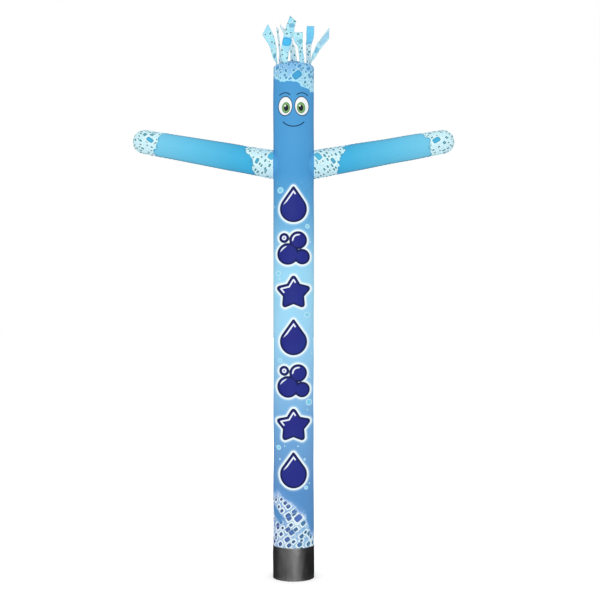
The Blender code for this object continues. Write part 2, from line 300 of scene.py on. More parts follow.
def root_distance(theta, run, side):
    """Distance of a spot on the plain tube from an arm's middle line; a spot on the
    tube's other side counts as far away."""
    return np.where(side * np.sin(theta) > 0, np.hypot(*arm_spot(theta, run, side)), 9.0)


def root_creases(theta, run, side, depth):
    """The pinches that fan out round an arm's root: each is a narrow valley at its
    own angle round the arm, deepest just outside the seam, dying away over its own
    length."""
    low, deep = arm_spot(theta, run, side)
    away, turn = np.hypot(low, deep), np.arctan2(deep, low)
    near = smooth(side * TUBE_RADIUS * np.sin(theta), -0.02, 0.08)
    near = near * smooth(away, ROOT_SEAM_RADIUS + 0.0005, ROOT_SEAM_RADIUS + 0.0185)
    rng = np.random.default_rng(31 + side)
    total = 0.0
    for k in range(CREASES):
        at = 2 * math.pi * (k + rng.uniform(-0.3, 0.3)) / CREASES
        wide, length = rng.uniform(0.05, 0.085), rng.uniform(0.05, 0.15)
        deepest = depth * rng.uniform(0.45, 1.0)
        gap = np.angle(np.exp(1j * (turn - at)))
        valley = np.exp(-((gap / wide) ** 2)) - 0.45 * np.exp(-((gap / wide / 2) ** 2))
        total = total - deepest * valley * (1 - smooth(away, 0.17, 0.19 + length))
    return total * near


def tube_relief(theta, run):
    """How far the tube's cloth stands out from its plain profile, in metres: a slow
    swelling, gathers that die away from the shoulder, the lap and the back seam,
    and the pinches round the arms, with the felled seam standing out over them."""
    cut = bpy.context.scene.air_dancer_tube
    free = smooth(run, BASE_HEIGHT + 0.002, BASE_HEIGHT + 0.03)
    held = 1 - smooth(run, SHOULDER_TOP - 0.012, SHOULDER_TOP)
    slow = cut.unevenness * drift(theta, run, 5, (1, 5), (0.2, 1.4))
    shoulder = np.exp(-np.abs(WALL_TOP + 0.006 - run) / SHOULDER_REACH)
    gather = drift(theta, run, 6, (19, 34), (0.1, 2.0))
    lap = np.exp(-np.clip(run - BASE_HEIGHT - 0.012, 0.0, None) / LAP_REACH)
    tuck = drift(theta, run, 7, (14, 30), (0.1, 1.5))
    behind = (math.pi - np.abs(theta)) * TUBE_RADIUS
    ripple = ruffle(run, 8, 0.062, 0.120) * np.exp(-((behind / RIPPLE_REACH) ** 2))
    relief = slow + cut.pucker * (shoulder * gather + 0.6 * lap * tuck + 0.8 * ripple)
    for side in (-1, 1):
        relief = relief * smooth(root_distance(theta, run, side), 0.158, 0.176)
        relief = relief + root_creases(theta, run, side, cut.crease)
    felled = (behind < FELL_HALF + 0.0001) & (run < WALL_TOP + 0.001)
    return relief * free * held + cut.seam_proud * felled * (run > BASE_HEIGHT + 0.0004)


def tube_point(theta, run, lift=0.0):
    """The tube's outer face: the profile turned round the upright axis, moved along
    its normal by the relief and by lift."""
    radius, height, bend = tube_profile(run)
    out = tube_relief(theta, run) + lift
    return on_round(radius + out * np.cos(bend), theta, height + out * np.sin(bend))


def arm_radius(along):
    """The sleeve's even taper from the tube to where the round hand starts."""
    return ARM_ROOT_RADIUS - ARM_TAPER * along


def arm_relief(phi, along, bend, side):
    """How far an arm's cloth stands out from the plain sleeve: waves that run along
    both seams and die away from them, stronger round the hand, and pinches near the
    root, over a slow unevenness; all of it dies away at the hand's tip."""
    cut = bpy.context.scene.air_dancer_arms
    from_seam = (math.pi / 2 - np.abs(phi)) * ARM_HAND_RADIUS
    round_hand = along + bend * ARM_HAND_RADIUS
    upper = ruffle(round_hand, 40 + side, 0.034, 0.062)
    lower = ruffle(round_hand, 44 + side, 0.034, 0.062)
    waves = np.where(phi < 0, upper, lower)
    fade = np.exp(-from_seam / (0.024 + 0.012 * smooth(bend, 0.0, 0.6)))
    strength = 0.55 + 0.45 * smooth(bend, 0.0, 0.5)
    slow = cut.unevenness * drift(2 * phi, along, 50 + side, (1, 3), (0.4, 2.2))
    pinch = ruffle(phi * ARM_ROOT_RADIUS, 52 + side, 0.045, 0.085)
    near_root = np.exp(-np.clip(along, 0.0, None) / 0.07)
    relief = cut.pucker * (strength * fade * waves + 0.7 * near_root * pinch) + slow
    return relief * smooth(math.pi / 2 - bend, 0.0, 0.35)


def arm_start(low, deep, side):
    """How far along the arm a line at that place across it meets the tube: the root
    on the arm's side of x squared plus y squared equal to the radius squared."""
    root, down, _, out = arm_axes(side)
    x = np.sqrt(np.clip((TUBE_RADIUS + ROOT_GAP) ** 2 - deep**2, 0.0, None)) * side
    return (x - root[0] - low * down[0]) / out[0]


def arm_point(phi, share, proud, off_plane, side, outward, depth):
    """A spot on one arm panel.

    phi runs round the sleeve from the upper seam to the lower one. share is 0 at
    the tube, 1 where the round hand starts and 2 at its tip. proud pushes the spot
    out past the plain sleeve, off_plane is its distance from the seam's plane where
    the cloth lies flat in the seam and nan elsewhere, and depth is how far under the
    outer face it lies. The relief starts just past the root seam.
    """
    root, down, back, out = arm_axes(side)
    bend = np.clip(share - 1, 0.0, 1.0) * math.pi / 2
    straight = np.clip(share, 0.0, 1.0)
    across, front = np.sin(phi), np.cos(phi)
    start = arm_start(ARM_ROOT_RADIUS * across, ARM_ROOT_RADIUS * front, side)
    along = start + (HAND_START - start) * straight
    rise = arm_relief(phi, along, bend, side) * smooth(along - start, 0.004, 0.05)
    plain = np.where(bend > 0, ARM_HAND_RADIUS, arm_radius(along))
    radius = plain * np.cos(bend) + (rise + proud - depth) * np.cos(bend)
    low = radius * across
    deep = np.where(np.isnan(off_plane), radius * front, off_plane)
    start = arm_start(low, deep, side)
    along = start + (HAND_START - start) * straight
    along = along + (ARM_HAND_RADIUS + rise + proud - depth) * np.sin(bend)
    point = root + low[..., None] * down + (outward * deep)[..., None] * back
    return point + along[..., None] * out, along


# ---- meshes ----------------------------------------------------------------------


def write_map(mesh, name, values):
    """Put a pair of numbers for every corner of every face on the named map."""
    layer = mesh.uv_layers.get(name) or mesh.uv_layers.new(name=name)
    layer.data.foreach_set("uv", np.ascontiguousarray(values, np.float32).ravel())


def read_map(mesh, name):
    """The pairs of numbers on the named map, one for every corner of every face."""
    values = np.zeros(2 * len(mesh.loops), np.float32)
    mesh.uv_layers[name].data.foreach_get("uv", values)
    return values.reshape(-1, 2)


def wall_cells(keep, closed):
    """The faces of a cloth wall in six groups, with the grid's rows counted downwards:
    outer face, inner face and the bound edges above, below, left and right. Each
    group has the cells that it covers and, for a face's four corners, the steps down
    and to the right from the cell's first corner, and the layer, 0 outside and 1
    inside."""
    ring = np.pad(keep, 1)
    if closed:
        ring[1:-1, 0], ring[1:-1, -1] = keep[:, -1], keep[:, 0]
    return [
        (keep, (0, 0, 1, 1), (0, 1, 1, 0), (0, 0, 0, 0)),
        (keep, (0, 1, 1, 0), (0, 0, 1, 1), (1, 1, 1, 1)),
        (keep & ~ring[:-2, 1:-1], (0, 0, 0, 0), (1, 0, 0, 1), (0, 0, 1, 1)),
        (keep & ~ring[2:, 1:-1], (1, 1, 1, 1), (0, 1, 1, 0), (0, 0, 1, 1)),
        (keep & ~ring[1:-1, :-2], (0, 1, 1, 0), (0, 0, 0, 0), (0, 0, 1, 1)),
        (keep & ~ring[1:-1, 2:], (1, 0, 0, 1), (1, 1, 1, 1), (0, 0, 1, 1)),
    ]


# The second map's parts: the left edge and the width of the two faces' parts, and the
# left edge, the pitch and the width of the four bound edges' parts. The faces' parts
# start a little above the map's bottom and fill nearly all of its height.
OUTER_PART = (0.004, 0.872)
INNER_PART = (0.884, 0.080)
EDGE_PART = (0.970, 0.007)
EDGE_WIDTH = 0.005
PART_FOOT = 0.006
PART_FILL = 0.985


def second_map(group, place, row, at, strips):
    """Where a group of faces lies on the second map: the outer face in strips of rows
    side by side, the inner face beside them, and the bound edges' faces one above
    another at the end. place is each point's share of the flat cloth's width and
    length, at the same for each corner of the group's faces, and row each face's row
    of the grid."""
    if group == 0:
        middle = place[:, place.shape[1] // 2, 1]
        breaks = np.searchsorted(middle, np.arange(1, strips) / strips)
        breaks = np.array([0, *breaks, len(middle) - 1])
        strip = np.searchsorted(breaks, row, side="right")[:, None] - 1
        tall = np.diff(middle[breaks]).max()
        x = OUTER_PART[0] + OUTER_PART[1] * (strip + PART_FILL * at[..., 0]) / strips
        y = PART_FOOT + PART_FILL * (at[..., 1] - middle[breaks[strip]]) / tall
    elif group == 1:
        x = INNER_PART[0] + INNER_PART[1] * at[..., 0]
        y = PART_FOOT + PART_FILL * at[..., 1]
    else:
        x = EDGE_PART[0] + EDGE_PART[1] * (group - 2) + EDGE_WIDTH * np.array([0, 0, 1, 1])
        y = (np.arange(len(row))[:, None] + np.array([0, 0.9, 0.9, 0])) / (len(row) + 1)
    return np.stack(np.broadcast_arrays(x, y), axis=-1)


def wall_mesh(name, outer, inner, flat, keep=None, closed=False, flip=False, strips=1):
    """A closed cloth wall between two grids of points, with its edges bound.

    outer and inner are rows by columns by three; flat gives each point's place on
    the flat cloth in metres, which is the first map. keep marks the grid's cells that
    are cloth. A closed grid's last column is its first one again. strips is how many
    strips the second map cuts the outer face into.
    """
    rows, columns = outer.shape[:2]
    keep = np.ones((rows - 1, columns - 1), bool) if keep is None else keep
    around = columns - 1 if closed else columns
    index = np.arange(rows)[:, None] * around + np.arange(columns) % around
    points = np.concatenate([grid[:, :around].reshape(-1, 3) for grid in (outer, inner)])
    low = flat.min((0, 1))
    place = (flat - low) / (flat.max((0, 1)) - low)
    faces, flats, seconds = [], [], []
    for group, (cells, down, right, layer) in enumerate(wall_cells(keep, closed)):
        row, column = np.nonzero(cells)
        r, c = row[:, None] + np.array(down), column[:, None] + np.array(right)
        faces.append(index[r, c] + np.array(layer) * rows * around)
        flats.append(flat[r, c])
        seconds.append(second_map(group, place, row, place[r, c], strips))
    stacks = [np.concatenate(part) for part in (faces, flats, seconds)]
    if flip:
        stacks = [part[:, ::-1] for part in stacks]
    mesh = bpy.data.meshes.new(name)
    mesh.from_pydata(points.tolist(), [], stacks[0].tolist())
    write_map(mesh, "cloth", stacks[1])
    write_map(mesh, "OFBake", stacks[2])
    mesh.uv_layers.active = mesh.uv_layers["cloth"]
    return mesh


def sew(name, mesh, material, nodes=()):
    """Weld a mesh's doubles, shade it smooth up to its folds, and put it in the
    scene as a piece that rides on the frame."""
    shape = bmesh.new()
    shape.from_mesh(mesh)
    bmesh.ops.remove_doubles(shape, verts=shape.verts, dist=WELD_REACH)
    loose = [v for v in shape.verts if not v.link_faces]
    bmesh.ops.delete(shape, geom=loose, context="VERTS")
    shape.to_mesh(mesh)
    shape.free()
    mesh.shade_smooth()
    mesh.set_sharp_from_angle(angle=FOLD_ANGLE)
    piece = bpy.data.objects.new(name, mesh)
    bpy.context.scene.collection.objects.link(piece)
    mesh.materials.append(material)
    if nodes:
        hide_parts(*nodes)
    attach(piece, "root")
    return piece


def stitches(name, material, rows, length=0.0034, width=0.0011, height=0.0009):
    """Sew short thread stitches as one piece: for every spot, direction and normal
    in the rows, a pointed lozenge of six corners along the seam, half sunk into the
    cloth."""
    spots, along, up = (np.concatenate(part) for part in zip(*rows))
    along, up = unit(along), unit(up)
    up = unit(up - (up * along).sum(1, keepdims=True) * along)
    ahead, beside, above = along * length / 2, np.cross(up, along) * width / 2, up * height / 2
    reaches = (-ahead, beside, ahead, -beside, above, -above)
    points = np.stack([spots + way for way in reaches], axis=1).reshape(-1, 3)
    ring = [(0, 3, 4), (3, 2, 4), (2, 1, 4), (1, 0, 4), (3, 0, 5), (2, 3, 5), (1, 2, 5), (0, 1, 5)]
    faces = np.array(ring) + len(reaches) * np.arange(len(spots))[:, None, None]
    mesh = bpy.data.meshes.new(name)
    mesh.from_pydata(points.tolist(), [], faces.reshape(-1, 3).tolist())
    return sew(name, mesh, material)


def seam_row(path, normal, pitch=0.0062):
    """Spots at an even pitch on a line of points, with the line's direction and the
    normal at each."""
    run, near = lengths(path), 0.002
    at = np.arange(pitch / 2, run[-1], pitch)
    way = follow(at + near, run, path) - follow(at - near, run, path)
    return follow(at, run, path), way, follow(at, run, normal)


# ---- dyes ----------------------------------------------------------------------------


def srgb(red, green, blue):
    """The linear colour of a screen colour of 0 to 255."""
    screen = np.array([red, green, blue]) / 255
    return tuple(np.where(screen < 0.04045, screen / 12.92, ((screen + 0.055) / 1.055) ** 2.4))


def maths(operation):
    """A method that lays one node for that operation."""
    return lambda wire, *others: wire.do(operation, *others)


class Wire:
    """A number that the shader works out at every spot; sums with it lay nodes."""

    def __init__(self, dye, socket):
        self.dye, self.socket = dye, socket

    def do(self, operation, *others):
        feeds = dict(enumerate((self, *others)))
        return self.dye.wire("ShaderNodeMath", feeds, operation=operation)

    __add__, __sub__, __mul__ = map(maths, ("ADD", "SUBTRACT", "MULTIPLY"))
    __lt__, __gt__, __pow__ = map(maths, ("LESS_THAN", "GREATER_THAN", "POWER"))
    __abs__ = maths("ABSOLUTE")

    def __truediv__(self, number):
        return self * (1 / number)

    def __rsub__(self, number):
        return self * -1.0 + number

    def step(self, low, high):
        """0 below low and 1 above high, or the other way round if high is less."""
        feeds = {"Value": self, "From Min": min(low, high), "From Max": max(low, high)}
        feeds.update({"To Min": float(low > high), "To Max": float(low < high)})
        return self.dye.wire("ShaderNodeMapRange", feeds, interpolation_type="SMOOTHSTEP")


class Dye:
    """Lays the nodes of one material. thin is the share of the light that passes
    into the cloth and out on either side."""

    def __init__(self, name, roughness, specular=0.22, thin=0.0):
        self.material = bpy.data.materials.new(name)
        self.material.use_nodes = True
        self.tree = self.material.node_tree
        self.shader = self.tree.nodes["Principled BSDF"]
        self.feed(self.shader, {"Roughness": roughness, "Specular IOR Level": specular})
        through = {"Weight": thin, "Radius": (1.0, 1.0, 1.0), "Scale": 0.004}
        self.feed(self.shader, {f"Subsurface {key}": value for key, value in through.items()})
        self.thread = None

    def feed(self, node, feeds):
        """Link each wire or socket to the node's input, or set the input's value."""
        for key, value in feeds.items():
            value = getattr(value, "socket", value)
            if isinstance(value, bpy.types.NodeSocket):
                self.tree.links.new(value, node.inputs[key])
            else:
                node.inputs[key].default_value = value

    def node(self, kind, feeds, **settings):
        node = self.tree.nodes.new(kind)
        for key, value in settings.items():
            setattr(node, key, value)
        self.feed(node, feeds)
        return node

    def wire(self, kind, feeds, output=0, **settings):
        """The number that a new node gives."""
        return Wire(self, self.node(kind, feeds, **settings).outputs[output])

    def cloth(self):
        """The two lengths of the flat cloth, in metres."""
        place = self.node("ShaderNodeUVMap", {}, uv_map="cloth").outputs[0]
        apart = self.node("ShaderNodeSeparateXYZ", {0: place}).outputs
        return Wire(self, apart[0]), Wire(self, apart[1])

    def place(self, x, y):
        return self.node("ShaderNodeCombineXYZ", {0: x, 1: y}).outputs[0]

    def object_place(self):
        return self.node("ShaderNodeTexCoord", {}).outputs["Object"]

    def mix(self, share, under, over, blend="MIX"):
        """under where share is 0 and over where it is 1; plain colours as triples."""
        under, over = ((*c, 1.0) if isinstance(c, tuple) else c for c in (under, over))
        settings = {"data_type": "RGBA", "blend_type": blend}
        return self.node("ShaderNodeMix", {0: share, 6: under, 7: over}, **settings).outputs[2]

    def ramp(self, value, low, high, stops):
        """A colour for each value between low and high, from (value, colour) stops."""
        feeds = {"Value": value, "From Min": low, "From Max": high}
        node = self.node("ShaderNodeValToRGB", {0: self.wire("ShaderNodeMapRange", feeds)})
        items = node.color_ramp.elements
        while len(items) < len(stops):
            items.new(0.5)
        for item, (at, colour) in zip(items, sorted(stops)):
            item.position = (at - low) / (high - low)
            item.color = (*colour, 1.0)
        return node.outputs[0]

    def tints(self, value, low, high, rows):
        """A ramp of screen colours, from rows of value, red, green and blue."""
        return self.ramp(value, low, high, [(at, srgb(*colour)) for at, *colour in rows])

    def curve(self, value, low, high, stops):
        """A number for each value between low and high, from (value, number) stops."""
        base = min(number for _, number in stops)
        span = max(number for _, number in stops) - base
        grey = [(at, ((number - base) / span,) * 3) for at, number in stops]
        return Wire(self, self.ramp(value, low, high, grey)) * span + base

    def noise(self, place, scale, detail=2.0):
        feeds = {"Vector": place, "Scale": scale, "Detail": detail, "Roughness": 0.5}
        return self.wire("ShaderNodeTexNoise", feeds)

    def cells(self, place, scale, exponent, loose, feature="F1"):
        """Distance from the nearest cell's middle, or with F2 from the next one's,
        and two random numbers of that cell."""
        feeds = {"Vector": place, "Scale": scale, "Exponent": exponent, "Randomness": loose}
        settings = {"distance": "MINKOWSKI", "voronoi_dimensions": "2D", "feature": feature}
        node = self.node("ShaderNodeTexVoronoi", feeds, **settings)
        apart = self.node("ShaderNodeSeparateColor", {0: node.outputs["Color"]}).outputs
        return [Wire(self, out) for out in (node.outputs["Distance"], apart[0], apart[1])]

    def ripstop(self, u, v, square=0.006, strength=0.25):
        """The weave: raised threads that cross every square metres of cloth and take
        the dye a little darker, over a fine grain."""
        across, along = (w.do("PINGPONG", square / 2).step(0.0005, 0.0) for w in (u, v))
        self.thread = across.do("MAXIMUM", along)
        height = self.thread * 0.6 + self.noise(self.place(u, v), 900.0, 1.0) * 0.4
        feeds = {"Height": height, "Strength": strength, "Distance": 0.0003}
        self.feed(self.shader, {"Normal": self.node("ShaderNodeBump", feeds).outputs[0]})

    def finish(self, colour, roughness=None):
        """The material in that colour, darker on the weave's threads."""
        if self.thread is not None:
            colour = self.mix(self.thread * 0.4, colour, (0.70, 0.78, 0.86), "MULTIPLY")
        self.feed(self.shader, {"Base Color": colour})
        if roughness is not None:
            self.feed(self.shader, {"Roughness": roughness})
        return self.material

    def printed(self, colour, u, v, place, dull=0.42):
        """The light printed cloth, its gloss broken up by wear."""
        self.ripstop(u, v)
        return self.finish(colour, self.noise(place, 40.0, 3.0) * 0.16 + dull)


# ---- parts of the prints -------------------------------------------------------------


def turned(x, y, degrees):
    """Lengths along and across a line that leans by degrees from x towards y."""
    c, s = math.cos(math.radians(degrees)), math.sin(math.radians(degrees))
    return x * c + y * s, y * c - x * s


def suds(dye, u, v, lean, stretch, ground, rim, layers):
    """A soap-suds print on a pale ground: a faint net of bubble films, then layers of
    round-cornered cells drawn out by stretch along one lean, each cell inside a pale
    ring that fades where it meets the next cell's.

    Each layer is (cells a metre, smallest, largest and ring width as shares of the
    space between cells, share of cells shown, colour of small cells, of large ones).
    """
    place = dye.place(u, v)
    settings = {"feature": "DISTANCE_TO_EDGE", "voronoi_dimensions": "2D"}
    feeds = {"Vector": place, "Scale": 64.0}
    films = dye.wire("ShaderNodeTexVoronoi", feeds, "Distance", **settings).step(0.16, 0.02)
    cloud = dye.noise(place, 13.0).step(0.35, 0.65)
    colour = dye.mix(films * cloud * 0.26, ground, rim)
    along, across = turned(u, v, lean)
    place = dye.place(along, across * stretch)
    for scale, small, large, ring, share, little, big in layers:
        distance, first, second = dye.cells(place, scale, 4.0, 0.72)
        between = dye.cells(place, scale, 4.0, 0.72, "F2")[0] - distance
        over = distance - first * (large - small) - small
        shown = second < share
        glow = over.step(ring * 1.35, ring * 0.65) * shown * between.step(0.0, 0.12)
        colour = dye.mix(glow, colour, rim)
        inside = over.step(0.035, -0.02) * shown * between.step(0.01, 0.07)
        heart = dye.mix(over.step(-0.04, -0.14), little, dye.mix(first, little, big))
        colour = dye.mix(inside, colour, heart)
    return colour


def patch_reach(u, v, at, half, degrees, power=4.0):
    """How far out a spot lies in a round-cornered patch, 1 at its edge: the sum of
    both shares to that power, rooted; lower powers come out more like a diamond."""
    along, across = turned(u - at[0], v - at[1], degrees)
    shares = abs(along / half[0]) ** power + abs(across / half[1]) ** power
    return shares ** (1 / power)


def big_cell(dye, under, u, v, spot, tint, rim, ring=0.014, power=4.0, soft=0.003):
    """A large cell at a given spot over the suds, with a darker border, inside a pale
    ring. spot is (place round, place along, half length, half width, lean)."""
    at, half = spot[:2], spot[2:4]
    over = (patch_reach(u, v, at, half, spot[4], power) - 1.0) * min(half)
    colour = dye.mix(over.step(ring * 1.3, ring * 0.5), under, rim)
    border = tuple(0.84 * c for c in tint)
    fill = dye.mix(over.step(-soft, -4 * soft), border, tint)
    return dye.mix(over.step(soft, -soft), colour, fill)


def scallops(dye, u, v, depth):
    """How far a suds edge bulges: rounded lobes of two sizes, in metres."""
    place = dye.place(u, v)
    large, small = (dye.cells(place, scale, 2.0, 1.0)[0] for scale in (15.0, 38.0))
    return (large * -1.1 - small * 0.45 + 0.75) * depth


def reach(x, y):
    """Distance from the middle."""
    return (x * x + y * y).do("SQRT")


def circles(x, y, rows, soft=0.0):
    """Signed distance from the nearest of some circles, each row (across, up,
    radius); they run together where soft is above 0."""
    nearest = None
    for across, up, radius in rows:
        distance = reach(x - across, y - up) - radius
        nearest = distance if nearest is None else nearest.do("SMOOTH_MIN", distance, soft)
    return nearest


def oval(x, y, at, half):
    """About the signed distance from an upright oval, in metres."""
    return (reach((x - at[0]) / half[0], (y - at[1]) / half[1]) - 1.0) * min(half)


def arc(x, y, at, radius, spread, half, way=1.0):
    """Signed distance from a round-ended stroke along a circle, spread degrees to
    both sides of its top, or of its bottom where way is -1: the distance from the
    circle within the spread, and from the stroke's nearer end beyond it."""
    c, s = math.cos(math.radians(spread)), math.sin(math.radians(spread))
    across, up = abs(x - at[0]), (y - at[1]) * way
    beside = abs(reach(across, up) - radius)
    end = reach(across - radius * s, up - radius * c)
    past = across * c - up * s > 0.0
    return past * (end - beside) + beside - half


def drop_shape(x, y):
    """Signed distance from a drop: the hull of a large and a small circle."""
    wide, narrow, tall = 0.150, 0.016, 0.232
    lean = (wide - narrow) / tall
    rest = math.sqrt(1 - lean * lean)
    x, y = abs(x), y + 0.050
    height = y * rest - x * lean
    under, over = height < 0.0, height > rest * tall
    flank = x * rest + y * lean - wide
    ends = under * (reach(x, y) - wide) + over * (reach(x, y - tall) - narrow)
    return ends + (1.0 - under - over) * flank


def star_shape(x, y):
    """Signed distance from a plump star of five points, its tips rounded off."""
    outer, inner, tip, fifth = 0.222, 0.125, 0.192, 2 * math.pi / 5
    turn = abs(x.do("ARCTAN2", y).do("WRAP", fifth / 2, -fifth / 2))
    away = reach(x, y)
    way = np.array([inner * math.sin(fifth / 2), inner * math.cos(fifth / 2) - outer])
    normal = np.array([-way[1], way[0]]) / np.linalg.norm(way)
    edge = away * turn.do("SINE") * normal[0] + away * turn.do("COSINE") * normal[1]
    return (edge - outer * normal[1]).do("SMOOTH_MAX", away - tip, 0.03)


def cluster_shape(x, y):
    """Signed distance from four bubbles that run together."""
    low = [(-0.062, -0.060, 0.120), (0.096, -0.090, 0.086)]
    high = [(0.052, 0.094, 0.098), (-0.104, 0.118, 0.055)]
    return circles(x, y, low + high, 0.02)


def motifs(dye, x, v, ground, prints):
    """Seven generic motifs up the front at one pitch, a drop, a star and a cluster in
    turn: a deep blue fill with a darker border, a white outline and highlights."""
    pitch, lowest, count = prints.motif_pitch, prints.motif_lowest, 7
    number = ((v - lowest) / pitch + 0.5).do("FLOOR")
    y = v - number * pitch - lowest
    kind = number.do("FLOORED_MODULO", 3.0)
    drop, star, cluster = (
        kind.do("COMPARE", float(k), 0.1) * shape(x, y)
        for k, shape in enumerate((drop_shape, star_shape, cluster_shape))
    )
    distance = drop + star + cluster
    on = (number > -0.5) * (number < count - 0.5)
    colour = dye.mix(distance.step(0.045, 0.018) * on * 0.35, ground, srgb(226, 246, 255))
    colour = dye.mix(distance.step(0.023, 0.018) * on, colour, tuple(prints.outline))
    fill = dye.mix(distance.step(-0.03, -0.008), tuple(prints.motif), srgb(8, 20, 86))
    colour = dye.mix(distance.step(0.003, -0.002) * on, colour, fill)
    band = distance.step(-0.048, -0.044) * distance.step(-0.028, -0.032)
    upper_left = (y * 0.75 - x * 0.66).step(0.066, 0.074)
    return dye.mix(band * upper_left * on, colour, srgb(244, 250, 255))


def droplets(dye, u, v, ground, low, high):
    """Small pale drops strewn thinly over the print between two heights."""
    distance, first, second = dye.cells(dye.place(u, v), 7.5, 2.0, 1.0)
    over = distance - first * 0.07 - 0.035
    shown = (second < 0.3) * v.step(low, low + 0.1) * v.step(high, high - 0.1)
    colour = dye.mix(over.step(0.012, -0.004) * shown, ground, srgb(214, 244, 255))
    return dye.mix(over.step(-0.025, -0.04) * shown, colour, srgb(140, 206, 240))


# Larger bubbles beside the motifs: place across the front, height, radius.
BUBBLES = [
    (-0.146, 4.345, 0.034), (0.156, 3.945, 0.024), (-0.168, 3.420, 0.026), (0.150, 2.960, 0.030),
    (-0.150, 2.452, 0.024), (0.172, 1.985, 0.036), (-0.166, 1.480, 0.026), (0.140, 1.035, 0.022),
]


def bubbles(dye, x, v, ground):
    """A few round bubbles: a pale skin round a cyan heart."""
    distance = circles(x, v, BUBBLES)
    colour = dye.mix(distance.step(0.004, -0.003), ground, srgb(196, 238, 252))
    return dye.mix(distance.step(-0.004, -0.014), colour, srgb(132, 212, 240))


def smiling_face(dye, x, v, colour):
    """A plain cheerful face of simple ovals and arcs, laid one over another."""
    dark = (22, 62, 96)
    y, ax = v - FACE_HEIGHT, abs(x)
    eye = oval(ax, y, (0.092, 0.016), (0.074, 0.100))
    iris = oval(ax, y, (0.084, -0.002), (0.047, 0.062))
    pupil = oval(ax, y, (0.082, -0.004), (0.026, 0.036))
    glints = circles(x, y, [(-0.094, 0.020, 0.010), (0.070, 0.020, 0.010)])
    brows = arc(ax, y, (0.098, 0.078), 0.086, 43, 0.0058)
    smile = arc(x, y, (0.0, -0.052), 0.158, 47, 0.0062, -1.0)
    layers = [
        (eye - 0.008, dark), (eye, (252, 254, 252)), (iris, (92, 148, 84)),
        (iris + 0.008, (134, 182, 104)), (pupil, (34, 38, 34)), (glints, (250, 253, 250)),
        (brows, dark), (smile, dark),
    ]
    for distance, tint in layers:
        colour = dye.mix(distance.step(0.002, -0.002), colour, srgb(*tint))
    return colour


# Sky blue up the tube, palest at mid height: height, red, green and blue.
SKY = [
    (0.30, 84, 138, 198), (0.64, 84, 146, 203), (0.98, 89, 148, 206), (1.20, 103, 155, 209),
    (1.81, 116, 176, 226), (2.00, 132, 187, 230), (2.78, 158, 217, 247), (3.41, 158, 220, 247),
    (3.80, 130, 196, 235), (4.10, 100, 174, 222), (4.53, 73, 158, 216), (4.87, 77, 160, 218),
    (5.85, 75, 159, 217),
]


def sky(dye, v):
    """The tube's sky blue at a height."""
    return dye.tints(v, 0.3, 5.85, SKY)


# How the tube's suds end, as (length round the cloth from the front, length up it).
HEAD_EDGE = [
    (-0.718, 5.50), (-0.55, 5.53), (-0.40, 5.62), (-0.33, 5.66), (-0.23, 5.595), (-0.115, 5.556),
    (-0.02, 5.550), (0.050, 5.552), (0.088, 5.510), (0.17, 5.478), (0.22, 5.452), (0.36, 5.47),
    (0.52, 5.52), (0.718, 5.50),
]
FOOT_EDGE = [
    (-0.718, 0.66), (-0.60, 0.74), (-0.45, 0.86), (-0.29, 0.93), (-0.18, 0.957), (-0.10, 0.900),
    (-0.02, 0.851), (0.075, 0.765), (0.150, 0.695), (0.19, 0.567), (0.25, 0.48), (0.42, 0.50),
    (0.58, 0.60), (0.718, 0.66),
]
# Larger cells over the head's suds: (place round, place along, half length, half
# width, lean, width of the pale ring, colour).
HEAD_CELLS = [
    (-0.036, 5.580, 0.022, 0.015, 38, 0.011, (80, 156, 206)),
    (0.137, 5.548, 0.018, 0.013, 60, 0.011, (80, 150, 186)),
    (-0.211, 5.715, 0.032, 0.022, 20, 0.011, (86, 160, 214)),
    (0.066, 5.722, 0.024, 0.016, 38, 0.011, (84, 158, 214)),
    (0.188, 5.705, 0.030, 0.017, 30, 0.011, (84, 162, 216)),
    (0.300, 5.640, 0.044, 0.020, 60, 0.011, (80, 158, 206)),
    (0.040, 5.622, 0.056, 0.040, 38, 0.010, (66, 168, 220)),
]
HALF_ROUND = 0.719  # a little more than half the tube's girth


def head_suds(dye, u, v, under):
    """Blue suds from the crown down to a lobed edge that is bright and pale."""
    edge = dye.curve(u, -HALF_ROUND, HALF_ROUND, HEAD_EDGE)
    above = v - edge + scallops(dye, u, v, 0.028)
    tint = dye.tints(above, 0.0, 0.42, [
        (0.01, 176, 234, 252), (0.06, 146, 208, 246), (0.13, 128, 190, 238),
        (0.22, 112, 178, 232), (0.34, 98, 164, 218),
    ])
    lilac = dye.noise(dye.place(u, v), 7.0).step(0.5, 0.72)
    tint = dye.mix(lilac * 0.5, tint, srgb(168, 198, 240))
    pale = u.step(0.04, 0.15) * above.step(0.33, 0.19)
    ground = dye.mix(pale * 0.85, tint, srgb(186, 236, 252))
    rim = dye.mix(above.step(0.05, 0.26), srgb(190, 238, 252), srgb(146, 204, 244))
    teal = dye.mix(pale, srgb(66, 136, 180), srgb(80, 152, 174))
    drawn = suds(dye, u, v, 38, 1.35, ground, rim, [
        (34.0, 0.11, 0.22, 0.13, 0.75, dye.mix(0.35, teal, ground), teal),
        (17.0, 0.16, 0.33, 0.12, 0.82, teal, srgb(76, 156, 206)),
    ])
    for *spot, ring, cell in HEAD_CELLS:
        soft = min(spot[2:4]) / 8
        drawn = big_cell(dye, drawn, u, v, spot, srgb(*cell), rim, ring, soft=soft)
    shown = above.step(-0.004, 0.004)
    bright = shown * above.step(0.028, 0.012) * 0.85
    return dye.mix(bright, dye.mix(shown, under, drawn), srgb(172, 234, 255))


